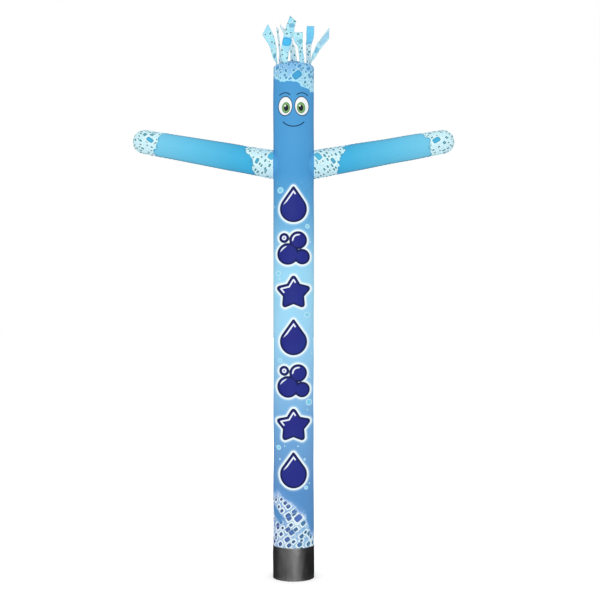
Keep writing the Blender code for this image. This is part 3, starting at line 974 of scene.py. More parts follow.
def foot_suds(dye, u, v, under):
    """White-rimmed suds that rise to the left from the base sleeve, violet on the
    left and cyan on the right, with one gap of sky and a soft glow along the edge."""
    edge = dye.curve(u, -HALF_ROUND, HALF_ROUND, FOOT_EDGE)
    below = edge - v + scallops(dye, u, v, 0.045)
    side = u.step(-0.24, 0.24)
    ground = dye.mix(side, srgb(138, 168, 220), srgb(154, 204, 238))
    cloud = dye.noise(dye.place(u, v), 9.0).step(0.42, 0.66)
    ground = dye.mix(cloud * 0.7, ground, srgb(110, 160, 216))
    cell = dye.mix(side, srgb(64, 82, 140), srgb(58, 112, 144))
    blue = dye.mix(side, srgb(84, 104, 184), srgb(76, 138, 192))
    ring = srgb(236, 253, 255)
    drawn = suds(dye, u, v, 38, 1.3, ground, ring, [
        (29.0, 0.11, 0.20, 0.16, 0.6, dye.mix(0.3, cell, ground), cell),
        (11.5, 0.19, 0.38, 0.20, 1.0, cell, blue),
    ])
    spot = (0.054, 0.704, 0.045, 0.034, 38)
    drawn = big_cell(dye, drawn, u, v, spot, srgb(80, 114, 190), ring, 0.017)
    half, soft = (0.125, 0.048), 0.020 / 0.048
    gap = patch_reach(u, v, (-0.215, 0.735), half, -42).step(1 + soft, 1 - soft)
    colour = dye.mix(below.step(-0.012, 0.014) * (1.0 - gap), under, drawn)
    haze = below.step(-0.10, 0.0) * below.step(0.02, 0.0) * 0.4
    glow = below.step(-0.04, -0.004) * below.step(0.04, 0.0) * 0.5
    return dye.mix(glow, dye.mix(haze, colour, srgb(140, 180, 236)), srgb(186, 214, 248))


# ---- materials ----------------------------------------------------------------------


def tube_print(prints):
    """The tube's print: sky, suds at the head and the foot, a face and motifs, with
    a rubbed ridge on the felled seam, and a dark line of dirt and painted shade where
    the seam steps out."""
    dye = Dye("tube_print", 0.5)
    u, v = dye.cloth()
    place = dye.place(u, v)
    theta = u / TUBE_RADIUS
    x = theta.do("SINE") * TUBE_RADIUS
    colour = droplets(dye, u, v, sky(dye, v), 1.0, 4.45)
    drawn = motifs(dye, x, v, bubbles(dye, x, v, colour), prints)
    drawn = smiling_face(dye, x, v, drawn)
    colour = dye.mix(theta.do("COSINE") > 0.0, colour, drawn)
    colour = foot_suds(dye, u, v, head_suds(dye, u, v, colour))
    mottle = dye.noise(place, 3.0).step(0.4, 0.75)
    colour = dye.mix(mottle * 0.06, colour, srgb(40, 110, 190))
    behind = GIRTH / 2 - abs(u)
    scuff = behind.step(0.0066, 0.0054) * dye.noise(place, 90.0, 4.0).step(0.42, 0.78)
    colour = dye.mix(scuff * 0.16, colour, srgb(214, 238, 250))
    # Painted shade with some dirt: a dark line along the step where the felled seam stands out.
    step_shade_and_dirt = abs(behind - 0.0068).step(0.0016, 0.0003)
    colour = dye.mix(step_shade_and_dirt * 0.30, colour, srgb(36, 72, 112))
    return dye.printed(colour, u, v, place)


# For each arm, the edges of the suds at its root and at its hand, as (angle from the
# sleeve's front in degrees, length along it), and three larger cells, as (angle,
# length along, half the cell's length, half its width, lean from round to along).
ARM_PRINT = {
    -1: (
        [(-90, 0.365), (-65, 0.312), (-35, 0.316), (-18, 0.290),
         (0, 0.229), (35, 0.214), (65, 0.191), (90, 0.165)],
        [(-90, 1.277), (-11, 1.325), (50, 1.341), (90, 1.335)],
        [(-33, 0.030, 0.050, 0.036, 22), (2, 0.180, 0.031, 0.019, 22),
         (-9, 1.402, 0.043, 0.027, 118)],
    ),
    1: (
        [(-90, 0.395), (-60, 0.350), (-35, 0.356), (-18, 0.334),
         (0, 0.272), (40, 0.250), (90, 0.228)],
        [(-90, 1.257), (-50, 1.276), (-17, 1.319), (66, 1.324), (90, 1.320)],
        [(-28, 0.060, 0.048, 0.032, 30), (4, 0.215, 0.033, 0.020, 30),
         (-9, 1.394, 0.046, 0.032, 114)],
    ),
}
ARM_CELL_TINTS = [(82, 192, 226), (80, 172, 204), (72, 178, 218)]


def arm_edges(dye, side, turn, apart, v):
    """How far a spot lies past the edge of the root's suds, and of the hand's."""
    pasts = []
    for rows, way in zip(ARM_PRINT[side], (-1.0, 1.0)):
        stops = [(math.radians(angle), along) for angle, along in rows]
        edge = dye.curve(turn, -math.pi / 2, math.pi / 2, stops)
        pasts.append((v - edge) * way + scallops(dye, apart, v, 0.040))
    return pasts


def arm_suds(dye, side, u, apart, v):
    """The suds of the root and the hand, each leaning its own way, with three larger
    cells over them."""
    pale, rim = srgb(205, 245, 255), srgb(228, 253, 255)
    layers = [
        (37.0, 0.10, 0.20, 0.10, 0.6, srgb(148, 180, 188), srgb(172, 166, 176)),
        (15.0, 0.15, 0.31, 0.15, 0.95, srgb(66, 136, 148), srgb(88, 168, 190)),
    ]
    root, hand = (suds(dye, apart, v, lean, 1.7, pale, rim, layers) for lean in (24, 114))
    drawn = dye.mix(v.step(0.79, 0.81), root, hand)
    for (angle, *spot), tint in zip(ARM_PRINT[side][2], ARM_CELL_TINTS):
        spot = (math.radians(angle) * ARM_U, *spot)
        drawn = big_cell(dye, drawn, u, v, spot, srgb(*tint), rim)
    return drawn


def arm_print(side):
    """An arm's print: cyan that pales towards the hand between suds at both ends,
    and the tube's blue where the root laps over the tube's front and back, with a band
    of painted shade along both seams."""
    dye = Dye("arm_print_left" if side < 0 else "arm_print_right", 0.5)
    u, v = dye.cloth()
    turn, quarter = u / ARM_U, math.pi / 2
    closing = ((v - HAND_START) / ARM_HAND_RADIUS).do("MAXIMUM", 0.0)
    apart = u * closing.do("COSINE") + (0.0 if side < 0 else 3.7)
    colour = dye.tints(v, 0.0, 1.8, [
        (0.20, 54, 177, 225), (0.45, 68, 182, 226), (0.72, 86, 190, 229),
        (1.00, 100, 198, 234), (1.30, 116, 204, 236),
    ])
    pasts = arm_edges(dye, side, turn, apart, v)
    drawn = arm_suds(dye, side, u, apart, v)
    for past in pasts:
        shade = past.step(-0.020, -0.010) * past.step(0.004, 0.0) * 0.6
        colour = dye.mix(shade, colour, srgb(70, 150, 184))
        colour = dye.mix(past.step(-0.004, 0.004), colour, drawn)
        bright = past.step(-0.002, 0.004) * past.step(0.016, 0.007) * 0.85
        colour = dye.mix(bright, colour, srgb(214, 252, 255))
    # Painted shade: a darker band along both seams, where the sleeve turns away.
    seam = abs(turn).step(quarter - 0.15, quarter - 0.01) * 0.85
    plain = pasts[0].step(0.0, -0.02) * pasts[1].step(0.0, -0.02)
    colour = dye.mix(seam * plain, colour, srgb(92, 146, 172))
    down = turn.do("SINE") * ARM_ROOT_RADIUS
    lapped = (v + down * math.tan(ARM_RISE)).step(0.0015, -0.0015)
    colour = dye.mix(lapped, colour, sky(dye, ARM_ROOT_HEIGHT - down))
    return dye.printed(colour, u, v, dye.place(apart, v))


# Larger cells of the streamers: number of the streamer, place across and along it,
# half length, half width, lean from across to along, power of the outline, colour.
STREAMER_CELLS = [
    (1, 0.000, 0.118, 0.036, 0.026, 20, 3.0, (112, 190, 208)),
    (3, 0.000, 0.245, 0.062, 0.058, 48, 1.5, (78, 194, 246)),
    (3, 0.010, 0.445, 0.036, 0.026, 40, 3.0, (130, 198, 226)),
    (4, 0.020, 0.240, 0.032, 0.024, 60, 3.0, (132, 204, 220)),
    (5, 0.000, 0.200, 0.046, 0.030, 80, 3.0, (134, 204, 236)),
    (5, 0.000, 0.365, 0.112, 0.030, 90, 4.0, (176, 222, 248)),
    (6, 0.000, 0.412, 0.142, 0.090, 90, 5.0, (130, 208, 248)),
]


def streamer_print():
    """The streamers' pale suds, with a few larger cells. The second strip and the last
    two stand at the back, and their ground is painted paler to make up for the light
    they lack. A darker line runs along the cut edges, partly the heat-sealed edge and
    partly painted edge shade. The strips lie on the cloth's map one after another, a
    metre apart."""
    dye = Dye("streamer_print", 0.55, thin=0.7)
    u, v = dye.cloth()
    place = dye.place(u, v)
    cloud = dye.noise(place, 8.0).step(0.4, 0.65)
    ground = dye.mix(cloud, srgb(160, 220, 250), srgb(188, 238, 254))
    # Painted light: the second strip and the last two stand at the back and get less light, so
    # their ground and rim are painted paler.
    behind = (v > 6.0) + v.do("COMPARE", 2.5, 0.5)
    ground = dye.mix(behind, ground, srgb(214, 246, 254))
    rim = dye.mix(behind, srgb(200, 242, 255), srgb(232, 252, 255))
    colour = suds(dye, u, v, 35, 1.3, ground, rim, [
        (38.0, 0.10, 0.19, 0.12, 0.6, srgb(140, 190, 208), srgb(164, 190, 208)),
        (15.5, 0.13, 0.26, 0.14, 0.8, srgb(84, 148, 160), srgb(108, 178, 198)),
    ])
    for number, across, along, long, wide, lean, power, tint in STREAMER_CELLS:
        spot = (across, number + along, long, wide, lean)
        colour = big_cell(dye, colour, u, v, spot, srgb(*tint), rim, 0.008, power, 0.008)
    inward = dye.wire("ShaderNodeAttribute", {}, "Fac", attribute_name="from_cut")
    # A darker line along the cut edges: partly the heat-sealed edge, partly painted edge shade.
    sealed_edge_and_shade = (inward - dye.noise(place, 60.0) * 0.004).step(0.0046, 0.0006)
    colour = dye.mix(sealed_edge_and_shade * 0.6, colour, srgb(118, 168, 184))
    return dye.printed(colour, u, v, place, 0.46)


def black_cloth():
    """The base's coated black cloth: a close weave under a thin even gloss, dusty
    along the hem."""
    dye = Dye("base_coated_cloth", 0.42, specular=0.7)
    u, v = dye.cloth()
    dust = dye.noise(dye.place(u, v), 14.0, 4.0)
    colour = dye.mix(dust.step(0.35, 0.8), srgb(12, 12, 13), srgb(21, 21, 21))
    colour = dye.mix(v.step(0.07, 0.0) * dust * 0.2, colour, srgb(82, 80, 77))
    dye.ripstop(u, v, 0.0028, 0.3)
    return dye.finish(colour, dust * 0.18 + 0.33)


def thread(name, red, green, blue):
    """Twisted thread: two tones that wind along the stitch."""
    dye = Dye(name, 0.6)
    wound = dye.noise(dye.object_place(), 420.0, 1.0).step(0.4, 0.6)
    colour = srgb(red, green, blue)
    return dye.finish(dye.mix(wound, tuple(0.6 * c for c in colour), colour))


def floor_paint():
    """A pale studio finish, dim where gloss mirrors it. A little light of its own,
    which only the camera sees, lifts it to the white of the backdrop, and further off
    it is all backdrop."""
    dye = Dye("floor_paint", 0.9, specular=0.0)
    place = dye.object_place()
    rays = dye.node("ShaderNodeLightPath", {}).outputs
    paint = dye.mix(dye.noise(place, 3.0), (0.90, 0.90, 0.90), (0.93, 0.93, 0.93))
    away = dye.wire("ShaderNodeVectorMath", {0: place}, "Value", operation="LENGTH")
    lift = (away.step(1.0, 9.0) * 0.75 + FLOOR_LIFT) * rays["Is Camera Ray"]
    white = (1.0, 1.0, 1.0, 1.0)
    dye.feed(dye.shader, {"Emission Color": white, "Emission Strength": lift})
    return dye.finish(dye.mix(rays["Is Glossy Ray"], paint, (0.06, 0.06, 0.06)))


# ---- settings -----------------------------------------------------------------------


def size_property(name, description, default):
    settings = {"min": 0.0, "unit": "LENGTH", "precision": 4}
    return bpy.props.FloatProperty(
        name=name, description=description, default=default, **settings
    )


def count_property(name, description, default, low, high):
    return bpy.props.IntProperty(
        name=name, description=description, default=default, min=low, max=high
    )


def light_property(name, description, default):
    return bpy.props.FloatProperty(
        name=name, description=description, default=default, min=0.0
    )


def colour_property(name, description, default):
    settings = {"subtype": "COLOR", "size": 3, "min": 0.0, "max": 1.0}
    return bpy.props.FloatVectorProperty(
        name=name, description=description, default=default, **settings
    )


class AirDancerTube(bpy.types.PropertyGroup):
    """How the tube's cloth lies."""

    columns: count_property("Columns", "Columns of cloth round the tube", 136, 24, 180)
    pucker: size_property("Pucker", "Depth of the gathers at the shoulder and the lap", 0.003)
    crease: size_property("Crease", "Depth of the pinches round the arms' roots", 0.0045)
    unevenness: size_property("Unevenness", "Slow swelling of the wall", 0.0022)
    seam_proud: size_property("Seam", "How far the felled back seam stands out", 0.0015)


class AirDancerArms(bpy.types.PropertyGroup):
    """How the arms' cloth lies."""

    rows: count_property("Rows", "Rows of cloth along an arm's straight part", 170, 20, 300)
    columns: count_property("Columns", "Columns of cloth round one panel", 36, 12, 80)
    pucker: size_property("Pucker", "Depth of the waves along the seams", 0.0026)
    unevenness: size_property("Unevenness", "Slow swelling of the sleeve", 0.002)
    seam_proud: size_property("Seam", "How far the sewn edge stands out", 0.006)


class AirDancerStreamers(bpy.types.PropertyGroup):
    """How the loose strips are laid out."""

    rows: count_property("Rows", "Rows of cloth along a strip", 90, 18, 200)
    columns: count_property("Columns", "Columns of cloth across a strip", 12, 4, 30)
    wrinkle: size_property("Wrinkle", "Depth of the wrinkles across a strip", 0.0014)


class AirDancerBase(bpy.types.PropertyGroup):
    """How the black sleeve lies."""

    columns: count_property("Columns", "Columns of cloth round the sleeve", 168, 24, 300)
    buckle: size_property("Buckle", "Depth of the upright buckles", 0.0018)


class AirDancerPrints(bpy.types.PropertyGroup):
    """Colours and places of the print."""

    motif: colour_property("Motif", "Fill of the motifs", srgb(33, 40, 138))
    outline: colour_property("Outline", "Outline of the motifs", srgb(238, 252, 255))
    motif_pitch: size_property("Motif pitch", "Height from one motif to the next", 0.492)
    motif_lowest: size_property("Lowest motif", "Height of the lowest motif's middle", 1.235)


class AirDancerStage(bpy.types.PropertyGroup):
    """The studio."""

    camera_distance: size_property("Camera", "Distance from the tube", CAMERA_DISTANCE)
    ambient: light_property("Ambient", "Strength of the even light from all round", 0.93)
    key: light_property("Key", "Strength of the large front light, in watts", 145.0)


# ---- operators --------------------------------------------------------------------


class SewTube(bpy.types.Operator):
    """Sew the printed tube with its ports and its felled back seam"""

    bl_idname = "air_dancer.sew_tube"
    bl_label = "Sew the tube"

    def execute(self, context):
        """Outer and inner walls on one grid of angle by length up the cloth; the
        cells inside a port are left out, and its edge is drawn onto a circle. Rows
        lie closest round the ports and over the shoulder."""
        cut = context.scene.air_dancer_tube
        fell = np.array([0.0, FELL_HALF / 2, FELL_HALF, FELL_HALF + 0.0006]) / TUBE_RADIUS
        start = math.pi - FELL_SIDE / TUBE_RADIUS
        free = np.linspace(-start, start, cut.columns)
        theta = np.concatenate([fell - math.pi, free, math.pi - fell[::-1]])
        marks = [TUBE_BOTTOM, 0.425, 4.44, 4.87, 5.60, WALL_TOP, SHOULDER_TOP, CLOTH_TOP]
        heights = spaced(marks, [14, 195, 45, 27, 16, 8, 1])
        turn, run = np.meshgrid(theta, heights)
        keep = np.ones((len(heights) - 1, len(theta) - 1), bool)
        for side in (-1, 1):
            turn, run, hole = self.cut_port(turn, run, side)
            keep &= ~hole
        bend = tube_profile(run)[2]
        felled = np.abs(turn) > math.pi - (FELL_HALF + 0.0001) / TUBE_RADIUS
        thick = CLOTH + cut.seam_proud * felled * (run < WALL_TOP)
        outer = tube_point(turn, run)
        inner = outer - on_round(np.cos(bend), turn, np.sin(bend)) * thick[..., None]
        flat = np.stack([TUBE_RADIUS * turn, run], axis=-1)
        mesh = wall_mesh("tube_panel", outer, inner, flat, keep, closed=True, strips=2)
        dye = tube_print(context.scene.air_dancer_prints)
        piece = sew("tube_panel", mesh, dye, ["trunk"])
        rows = self.seam_rows(heights[(heights > BASE_HEIGHT + 0.004) & (heights < WALL_TOP)])
        stitches("tube_stitches", thread("pale_thread", 206, 228, 240), rows)
        return {"FINISHED"}

    @staticmethod
    def cut_port(turn, run, side):
        """The cells whose middle lies in the port, and the grid with that hole's
        edge moved straight away from or to the arm's middle line onto the circle."""
        away = root_distance(turn, run, side)
        hole = sum(corners(away)) / 4 < PORT_RADIUS
        beside = np.stack(corners(np.pad(hole, 1)))
        border = beside.any(0) & ~beside.all(0)
        grow = np.where(border, PORT_RADIUS / away, 1.0)
        low, deep = arm_spot(turn, run, side)
        moved_turn, moved_run = tube_spot(low * grow, deep * grow, side)
        return np.where(border, moved_turn, turn), np.where(border, moved_run, run), hole

    @staticmethod
    def seam_rows(heights):
        """Stitches up both sides of the back seam, round the crown's seam, and on the
        tube just outside each arm's root."""
        rows = []
        for side in (-1, 1):
            angle = np.full_like(heights, side * (math.pi - FELL_STITCHES / TUBE_RADIUS))
            rows.append(seam_row(tube_point(angle, heights, THREAD_LIFT), outwards(angle)))
        ring = np.linspace(-math.pi, math.pi, 500)
        path = tube_point(ring, np.full_like(ring, SHOULDER_TOP + 0.0022), THREAD_LIFT)
        rows.append(seam_row(path, np.broadcast_to([0.0, 0.0, 1.0], path.shape)))
        round_root = ROOT_SEAM_RADIUS * outwards(np.linspace(0, 2 * math.pi, 400))
        for side in (-1, 1):
            angle, height = tube_spot(round_root[:, 0], -round_root[:, 1], side)
            path = tube_point(angle, height, THREAD_LIFT)
            rows.append(seam_row(path, outwards(angle)))
        return rows


class SewCrown(bpy.types.Operator):
    """Sew the round crown into the top of the tube"""

    bl_idname = "air_dancer.sew_crown"
    bl_label = "Sew the crown"

    def execute(self, context):
        """A low dome: height falls with the square of the radius, with small
        upright gathers that grow towards the seam."""
        edge = RIM_INNER_RADIUS - SEWN_GAP
        theta = np.linspace(-math.pi, math.pi, 121)
        even = np.sqrt(np.linspace(1.0, 0.0, 26))
        turn, radius = np.meshgrid(theta, edge * np.array([1.0, 0.99, 0.975, *even[1:]]))
        inside, share = edge - radius, radius / edge
        gather = drift(turn, radius, 21, (17, 31), (0.2, 3.0)) * np.exp(-inside / 0.03)
        slow = drift(turn, radius, 22, (2, 6), (1.0, 5.0)) * smooth(share, 0.1, 0.5)
        height = TUBE_TOP + CROWN_RISE * (1 - share**2)
        height = height + CROWN_GATHER * gather * smooth(inside, 0.0, 0.008)
        height = height + CROWN_SWELL * slow * smooth(inside, 0.0, 0.02)
        outer = on_round(radius, turn, height)
        flat = outer[..., :2] + [0.0, CROWN_V]
        inner = outer - [0.0, 0.0, CLOTH]
        mesh = wall_mesh("crown_disc", outer, inner, flat, closed=True)
        self.lay_flat(mesh, (turn.shape[0] - 1) * (turn.shape[1] - 1), edge)
        material = bpy.data.materials["tube_print"]
        piece = sew("crown_disc", mesh, material, ["crown"])
        return {"FINISHED"}

    @staticmethod
    def lay_flat(mesh, cells, edge):
        """Lay the outer face on the second map as a disc, and the inner face, whose
        cells come after the outer's, as a smaller one beside it."""
        cell = np.repeat(np.arange(len(mesh.polygons)), 4)[:, None]
        spread = (read_map(mesh, "cloth") - [0.0, CROWN_V]) / (2 * edge)
        discs = np.where(cell < cells, [0.42, 0.5] + 0.8 * spread, [0.90, 0.1] + 0.16 * spread)
        write_map(mesh, "OFBake", np.where(cell < 2 * cells, discs, read_map(mesh, "OFBake")))


class SewBase(bpy.types.Operator):
    """Sew the black sleeve with its turned hem"""

    bl_idname = "air_dancer.sew_base"
    bl_label = "Sew the base"

    def execute(self, context):
        """An upright wall with slow buckles that die away at the lap, a groove at the
        hem's stitching, and a second layer inside the hem."""
        heights = np.concatenate([
            np.linspace(0.0, 0.024, 6),
            HEM_SEAM + np.array([-0.0013, 0.0, 0.0013, 0.0025, 0.0041]),
            np.linspace(0.038, LAP_SEAM - 0.012, 34),
            LAP_SEAM + np.array([-0.005, -0.0016, 0.0016, 0.005]),
            [BASE_HEIGHT],
        ])
        theta = np.linspace(-math.pi, math.pi, context.scene.air_dancer_base.columns + 1)
        turn, height = np.meshgrid(theta, heights)
        radius = BASE_OUTER_RADIUS + self.relief(turn, height)
        layers = np.where(height < HEM_HEIGHT + 0.001, 2.0, 1.0)
        outer = on_round(radius, turn, height)
        inner = on_round(radius - BASE_CLOTH * layers, turn, height)
        flat = np.stack([BASE_OUTER_RADIUS * turn, height], axis=-1)
        mesh = wall_mesh("base_sleeve_cloth", outer, inner, flat, closed=True)
        piece = sew("base_sleeve_cloth", mesh, black_cloth(), ["base_sleeve"])
        ring = np.linspace(-math.pi, math.pi, 600)
        rows = []
        for level in (HEM_SEAM, LAP_SEAM, LAP_SEAM - 0.008):
            level = np.full_like(ring, level)
            radius = BASE_OUTER_RADIUS + self.relief(ring, level) + THREAD_LIFT
            rows.append(seam_row(on_round(radius, ring, level), outwards(ring), 0.0068))
        stitches("base_stitches", thread("dark_thread", 58, 58, 60), rows, 0.004, 0.0012)
        return {"FINISHED"}

    @staticmethod
    def relief(turn, height):
        """Buckles of the sleeve in metres, never outwards at the lap or the hem."""
        depth = bpy.context.scene.air_dancer_base.buckle
        free = smooth(height, 0.0, 0.08) * (1 - smooth(height, LAP_SEAM - 0.09, LAP_SEAM - 0.022))
        slow = drift(turn, height, 61, (3, 9), (0.2, 1.6))
        fine = drift(turn, height, 62, (12, 24), (0.2, 2.5))
        groove = sum(np.exp(-(((height - seam) / 0.0016) ** 2)) for seam in (HEM_SEAM, LAP_SEAM))
        pucker = drift(turn, height, 63, (40, 70), (0.2, 1.0))
        pucker = pucker * np.exp(-(((height - 0.034) / 0.012) ** 2))
        buckle = free * depth * (slow + 0.35 * fine)
        return buckle - HEM_GROOVE * groove + HEM_PUCKER * pucker


class SewArms(bpy.types.Operator):
    """Sew both arms, each of a front and a back panel"""

    bl_idname = "air_dancer.sew_arms"
    bl_label = "Sew the arms"

    def execute(self, context):
        """Two panels to an arm, stitched together along their upper and lower edges."""
        cut = context.scene.air_dancer_arms
        columns = self.panel_columns(cut)
        share = spaced([0.0, 0.06, 1.0, 2.0], [13, cut.rows - 1, 25])
        threads = thread("arm_thread", 120, 168, 190)
        for side, arm in ((-1, "arm_left"), (1, "arm_right")):
            dye, rows = arm_print(side), []
            for outward, panel in ((-1, "front"), (1, "back")):
                name = f"{arm}_{panel}"
                mesh = self.panel(name, share, side, outward, *columns)
                self.lay_sheet(sew(f"{name}_cloth", mesh, dye, [name]))
                rows += self.seams(side, outward)
            stitches(f"{arm}_stitches", threads, rows)
        return {"FINISHED"}

    @staticmethod
    def panel_columns(cut):
        """For each column of a panel its angle, how far it stands out past the plain
        sleeve, the distance of its outer and of its inner face from the seam's plane,
        and how deep its inner face lies. The first and the last columns are the flat
        edge that is sewn to the other panel."""
        quarter, proud = math.pi / 2, cut.seam_proud
        bound = np.array([proud, proud - 0.0007, proud * 0.45, 0.0007])
        fold = quarter - 0.0046 / ARM_HAND_RADIUS
        free = np.linspace(-fold, fold, cut.columns)
        blank = np.zeros(cut.columns)
        outer_plane = mirrored([0.0012, 0.0017, 0.0018, 0.0021], blank + np.nan)
        inner_plane = mirrored([SEWN_GAP / 2] * len(bound), blank + np.nan)
        depth = mirrored([0.0, 0.0, 0.0, 0.0025], blank + CLOTH)
        phi = np.concatenate([[-quarter] * len(bound), free, [quarter] * len(bound)])
        return phi, mirrored(bound, blank), outer_plane, inner_plane, depth

    @staticmethod
    def panel(name, share, side, outward, phi, stand, outer_plane, inner_plane, depth):
        """Half a sleeve on a grid of angle by share of the arm's length."""
        turn, part = np.meshgrid(phi, share)
        outer, along = arm_point(turn, part, stand, outer_plane, side, outward, 0.0)
        inner, _ = arm_point(turn, part, stand, inner_plane, side, outward, depth)
        past = HAND_START + (part - 1) * math.pi / 2 * ARM_HAND_RADIUS
        run = np.where(part > 1, past, along)
        flat = np.stack([ARM_U * turn + np.sign(turn) * stand, run], axis=-1)
        return wall_mesh(name, outer, inner, flat, flip=side * outward > 0)

    @staticmethod
    def seams(side, outward):
        """Stitches on one panel's flat edges, from the tube round to the hand's tip."""
        line = spaced([0.0, 1.0, 2.0], [899, 89])
        rows = []
        for edge in (-math.pi / 2, math.pi / 2):
            angle = np.full_like(line, edge)
            path, _ = arm_point(angle, line, 0.0032, 0.0019, side, outward, 0.0)
            rows.append(seam_row(path, np.broadcast_to([0.0, outward, 0.0], path.shape)))
        return rows

    @staticmethod
    def lay_sheet(piece):
        """Half the girth by the length over the round hand, with what the seams and
        the curved root take; the area is half a cone's and a quarter ball's."""
        area = math.pi * (ARM_ROOT_RADIUS + ARM_HAND_RADIUS) / 2 * HAND_START
        area = area + math.pi * ARM_HAND_RADIUS**2 + EDGE_AREA


class SewStreamers(bpy.types.Operator):
    """Sew the loose strips round the crown"""

    bl_idname = "air_dancer.sew_streamers"
    bl_label = "Sew the streamers"

    def execute(self, context):
        """Each strip's middle surface, thickened evenly to both sides."""
        cut = context.scene.air_dancer_streamers
        dye = streamer_print()
        share = np.linspace(0, 1, cut.rows)[:, None]
        u = np.linspace(-1, 1, cut.columns + 1)[None, :]
        for number, (name, spec) in enumerate(STREAMERS.items(), 1):
            grid, flat, length = self.grid(*spec, cut.rows, cut.columns)
            normal = unit(np.cross(np.gradient(grid, axis=1), np.gradient(grid, axis=0)))
            waves = ruffle(share * length + 0.02 * u, 70 + number, 0.05, 0.12)
            curl = 1.5 * np.abs(u) ** 3 * ruffle(share * length, 80 + number, 0.06, 0.16)
            wrinkle = cut.wrinkle * (waves + curl) * smooth(share, 0.06, 0.3)
            grid = grid + normal * wrinkle[..., None]
            half = normal * STREAMER_CLOTH / 2
            mesh = wall_mesh(name, grid + half, grid - half, flat + [0.0, number])
            inward = np.minimum((1 - np.abs(u)) * flat[:, -1:, 0], (1 - share) * length).ravel()
            from_cut = mesh.attributes.new("from_cut", "FLOAT", "POINT")
            from_cut.data.foreach_set("value", np.concatenate([inward, inward]))
            piece = sew(f"{name}_cloth", mesh, dye, [name])
        return {"FINISHED"}

    @staticmethod
    def smooth_rows(stations, count):
        """Evenly spaced rows on a Catmull-Rom curve through the stations."""
        knots = np.array(stations, dtype=float)
        padded = np.vstack([2 * knots[0] - knots[1], knots, 2 * knots[-1] - knots[-2]])
        spans = len(knots) - 1
        place = np.linspace(0.0, spans, count)
        span = np.minimum(place.astype(int), spans - 1)
        t = (place - span)[:, None]
        before, start, end, after = (padded[span + k] for k in range(4))
        square = 2 * before - 5 * start + 4 * end - after
        cube = 3 * start - before - 3 * end + after
        return 0.5 * (2 * start + (end - before) * t + square * t**2 + cube * t**3)

    @classmethod
    def grid(cls, degrees, slant, stations, rows, columns):
        """Points of a strip, rows along it and columns across it: the root follows
        the crown's seam circle, and above it the strip is spread to both sides of
        its middle line, turned about it and cupped a little across."""
        angle = math.radians(degrees)
        root = (SEAM_CIRCLE_RADIUS * math.sin(angle), -SEAM_CIRCLE_RADIUS * math.cos(angle))
        narrow = ROOT_WIDTH_SHARE * stations[0][4]
        foot = [(height, *root, degrees, narrow) for height in (0.0, ROOT_RISE)]
        fine = cls.smooth_rows([*foot, *stations], 144)
        path = fine[:, [1, 2, 0]]
        run, near = lengths(path), 0.01
        u = np.linspace(-1.0, 1.0, columns + 1)
        ends = 1.0 + u * slant / (2 * run[-1])
        wanted = np.linspace(0.0, 1.0, rows)[:, None] * ends / ends.max() * run[-1]
        at = follow(wanted, run, fine)
        tangent = unit(follow(wanted + near, run, path) - follow(wanted - near, run, path))
        turn = np.radians(at[..., 3])
        level = np.stack([np.cos(turn), np.sin(turn), 0 * turn], axis=-1)
        across = unit(level - (level * tangent).sum(-1, keepdims=True) * tangent)
        half = u * at[..., 4] / 2
        cup = STREAMER_CUP * (1 - u * u)[:, None] * np.cross(tangent, across)
        spread = at[..., [1, 2, 0]] + half[..., None] * across + cup
        seam = on_round(SEAM_CIRCLE_RADIUS, angle + half / SEAM_CIRCLE_RADIUS, at[..., 0])
        free = smooth(wanted / (ROOT_BLEND * run[-1]), 0.0, 1.0)[..., None]
        points = (1 - free) * seam + free * spread
        points[..., 2] += TUBE_TOP + SEWN_GAP
        return points, np.stack([half, wanted], axis=-1), run[-1]


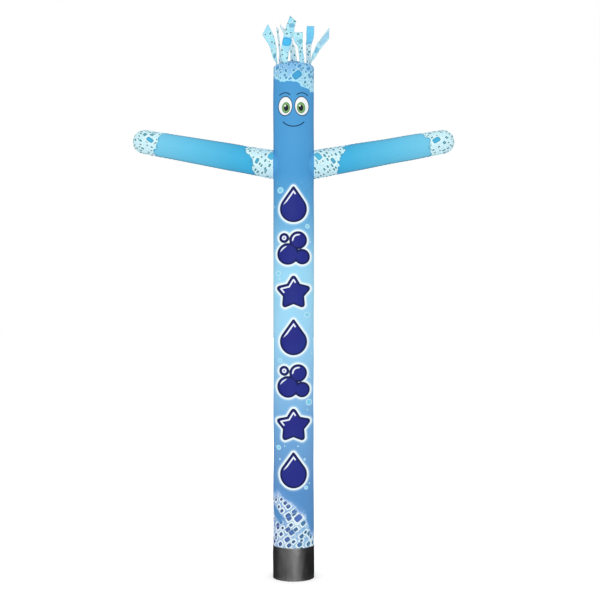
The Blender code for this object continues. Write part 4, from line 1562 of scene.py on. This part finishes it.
class SetStage(bpy.types.Operator):
    """Set up the pale floor, the even light and the camera"""

    bl_idname = "air_dancer.set_stage"
    bl_label = "Set the stage"

    def execute(self, context):
        scene, stage = context.scene, context.scene.air_dancer_stage
        self.lay_floor()
        self.light_world(scene, stage.ambient)
        self.add_lamp("key_light", KEY_PLACE, KEY_AIM, KEY_SIZE, stage.key)
        black = bpy.data.collections.new("black_cloth")
        black.objects.link(bpy.data.objects["base_sleeve_cloth"])
        for name, degrees, width, power in BASE_LAMPS:
            spot = on_round(BASE_LAMP_DISTANCE, math.radians(degrees), BASE_LAMP_HEIGHT)
            lamp = self.add_lamp(name, spot, BASE_LAMP_AIM, (width, BASE_LAMP_TALL), power)
            lamp.light_linking.receiver_collection = black
        self.place_camera(scene, stage.camera_distance)
        view = scene.view_settings
        view.view_transform, view.look, view.exposure, view.gamma = "Standard", "None", 0.0, 1.0
        return {"FINISHED"}

    @staticmethod
    def place_camera(scene, distance):
        camera = bpy.data.objects.new("camera", bpy.data.cameras.new("camera"))
        scene.collection.objects.link(camera)
        camera.location = (CAMERA_PLACE[0], -distance, CAMERA_PLACE[1])
        camera.rotation_euler = (math.pi / 2, 0.0, 0.0)
        camera.data.sensor_fit = "HORIZONTAL"
        camera.data.angle = 2 * math.atan(HALF_VIEW / CAMERA_DISTANCE)
        camera.data.clip_end = CAMERA_REACH
        scene.camera = camera

    @staticmethod
    def lay_floor():
        """A wide level sheet under the hem."""
        signs = ((-1, -1), (1, -1), (1, 1), (-1, 1))
        ends = [(FLOOR_REACH * x, FLOOR_REACH * y, 0) for x, y in signs]
        mesh = bpy.data.meshes.new("floor")
        mesh.from_pydata(ends, [], [(0, 1, 2, 3)])
        mesh.materials.append(floor_paint())
        floor = bpy.data.objects.new("floor", mesh)
        bpy.context.scene.collection.objects.link(floor)

    @staticmethod
    def light_world(scene, ambient):
        """White behind the object, a slightly dimmer even light on cloth, and a dim
        surround for glossy light, so that sheen comes from the lamps."""
        world = bpy.data.worlds.new("studio")
        world.use_nodes = True
        scene.world = world
        tree = world.node_tree
        rays = tree.nodes.new("ShaderNodeLightPath").outputs
        glossy, camera = (tree.nodes.new("ShaderNodeMix") for _ in range(2))
        glossy.inputs["A"].default_value = ambient
        glossy.inputs["B"].default_value = GLOSSY_SURROUND
        camera.inputs["B"].default_value = 1.0
        tree.links.new(rays["Is Glossy Ray"], glossy.inputs["Factor"])
        tree.links.new(rays["Is Camera Ray"], camera.inputs["Factor"])
        background = tree.nodes["Background"].inputs
        background["Color"].default_value = (1.0, 1.0, 1.0, 1.0)
        tree.links.new(glossy.outputs["Result"], camera.inputs["A"])
        tree.links.new(camera.outputs["Result"], background["Strength"])

    @staticmethod
    def add_lamp(name, place, target, size, power):
        """A soft rectangular lamp that faces a point."""
        lamp = bpy.data.lights.new(name, "AREA")
        lamp.shape, lamp.size, lamp.size_y, lamp.energy = "RECTANGLE", *size, power
        light = bpy.data.objects.new(name, lamp)
        bpy.context.scene.collection.objects.link(light)
        gaze = unit(np.array(target) - np.array(place))
        light.location = place
        light.rotation_euler = (math.acos(-gaze[2]), 0.0, math.atan2(gaze[0], -gaze[1]) + math.pi)
        light.visible_camera = False
        return light


# ---- panel and registration -----------------------------------------------------------

STEPS = (SewTube, SewCrown, SewBase, SewArms, SewStreamers, SetStage)
SETTINGS = {
    "air_dancer_tube": AirDancerTube,
    "air_dancer_arms": AirDancerArms,
    "air_dancer_streamers": AirDancerStreamers,
    "air_dancer_base": AirDancerBase,
    "air_dancer_prints": AirDancerPrints,
    "air_dancer_stage": AirDancerStage,
}


class AirDancerPanel(bpy.types.Panel):
    """Settings and steps, in the order of the work"""

    bl_idname = "VIEW3D_PT_air_dancer"
    bl_label = "Air dancer"
    bl_space_type = "VIEW_3D"
    bl_region_type = "UI"
    bl_category = "Air dancer"

    def draw(self, context):
        for name, kind in SETTINGS.items():
            box = self.layout.box()
            for key in kind.__annotations__:
                box.prop(getattr(context.scene, name), key)
        for step in STEPS:
            self.layout.operator(step.bl_idname)


def register():
    for kind in (*SETTINGS.values(), *STEPS, AirDancerPanel):
        bpy.utils.register_class(kind)
    for name, kind in SETTINGS.items():
        setattr(bpy.types.Scene, name, bpy.props.PointerProperty(type=kind))


def unregister():
    for name in SETTINGS:
        delattr(bpy.types.Scene, name)
    for kind in reversed((*SETTINGS.values(), *STEPS, AirDancerPanel)):
        bpy.utils.unregister_class(kind)


def main():
    register()
    for step in STEPS:
        group, name = step.bl_idname.split(".")
        getattr(getattr(bpy.ops, group), name)()


if __name__ == "__main__":
    main()
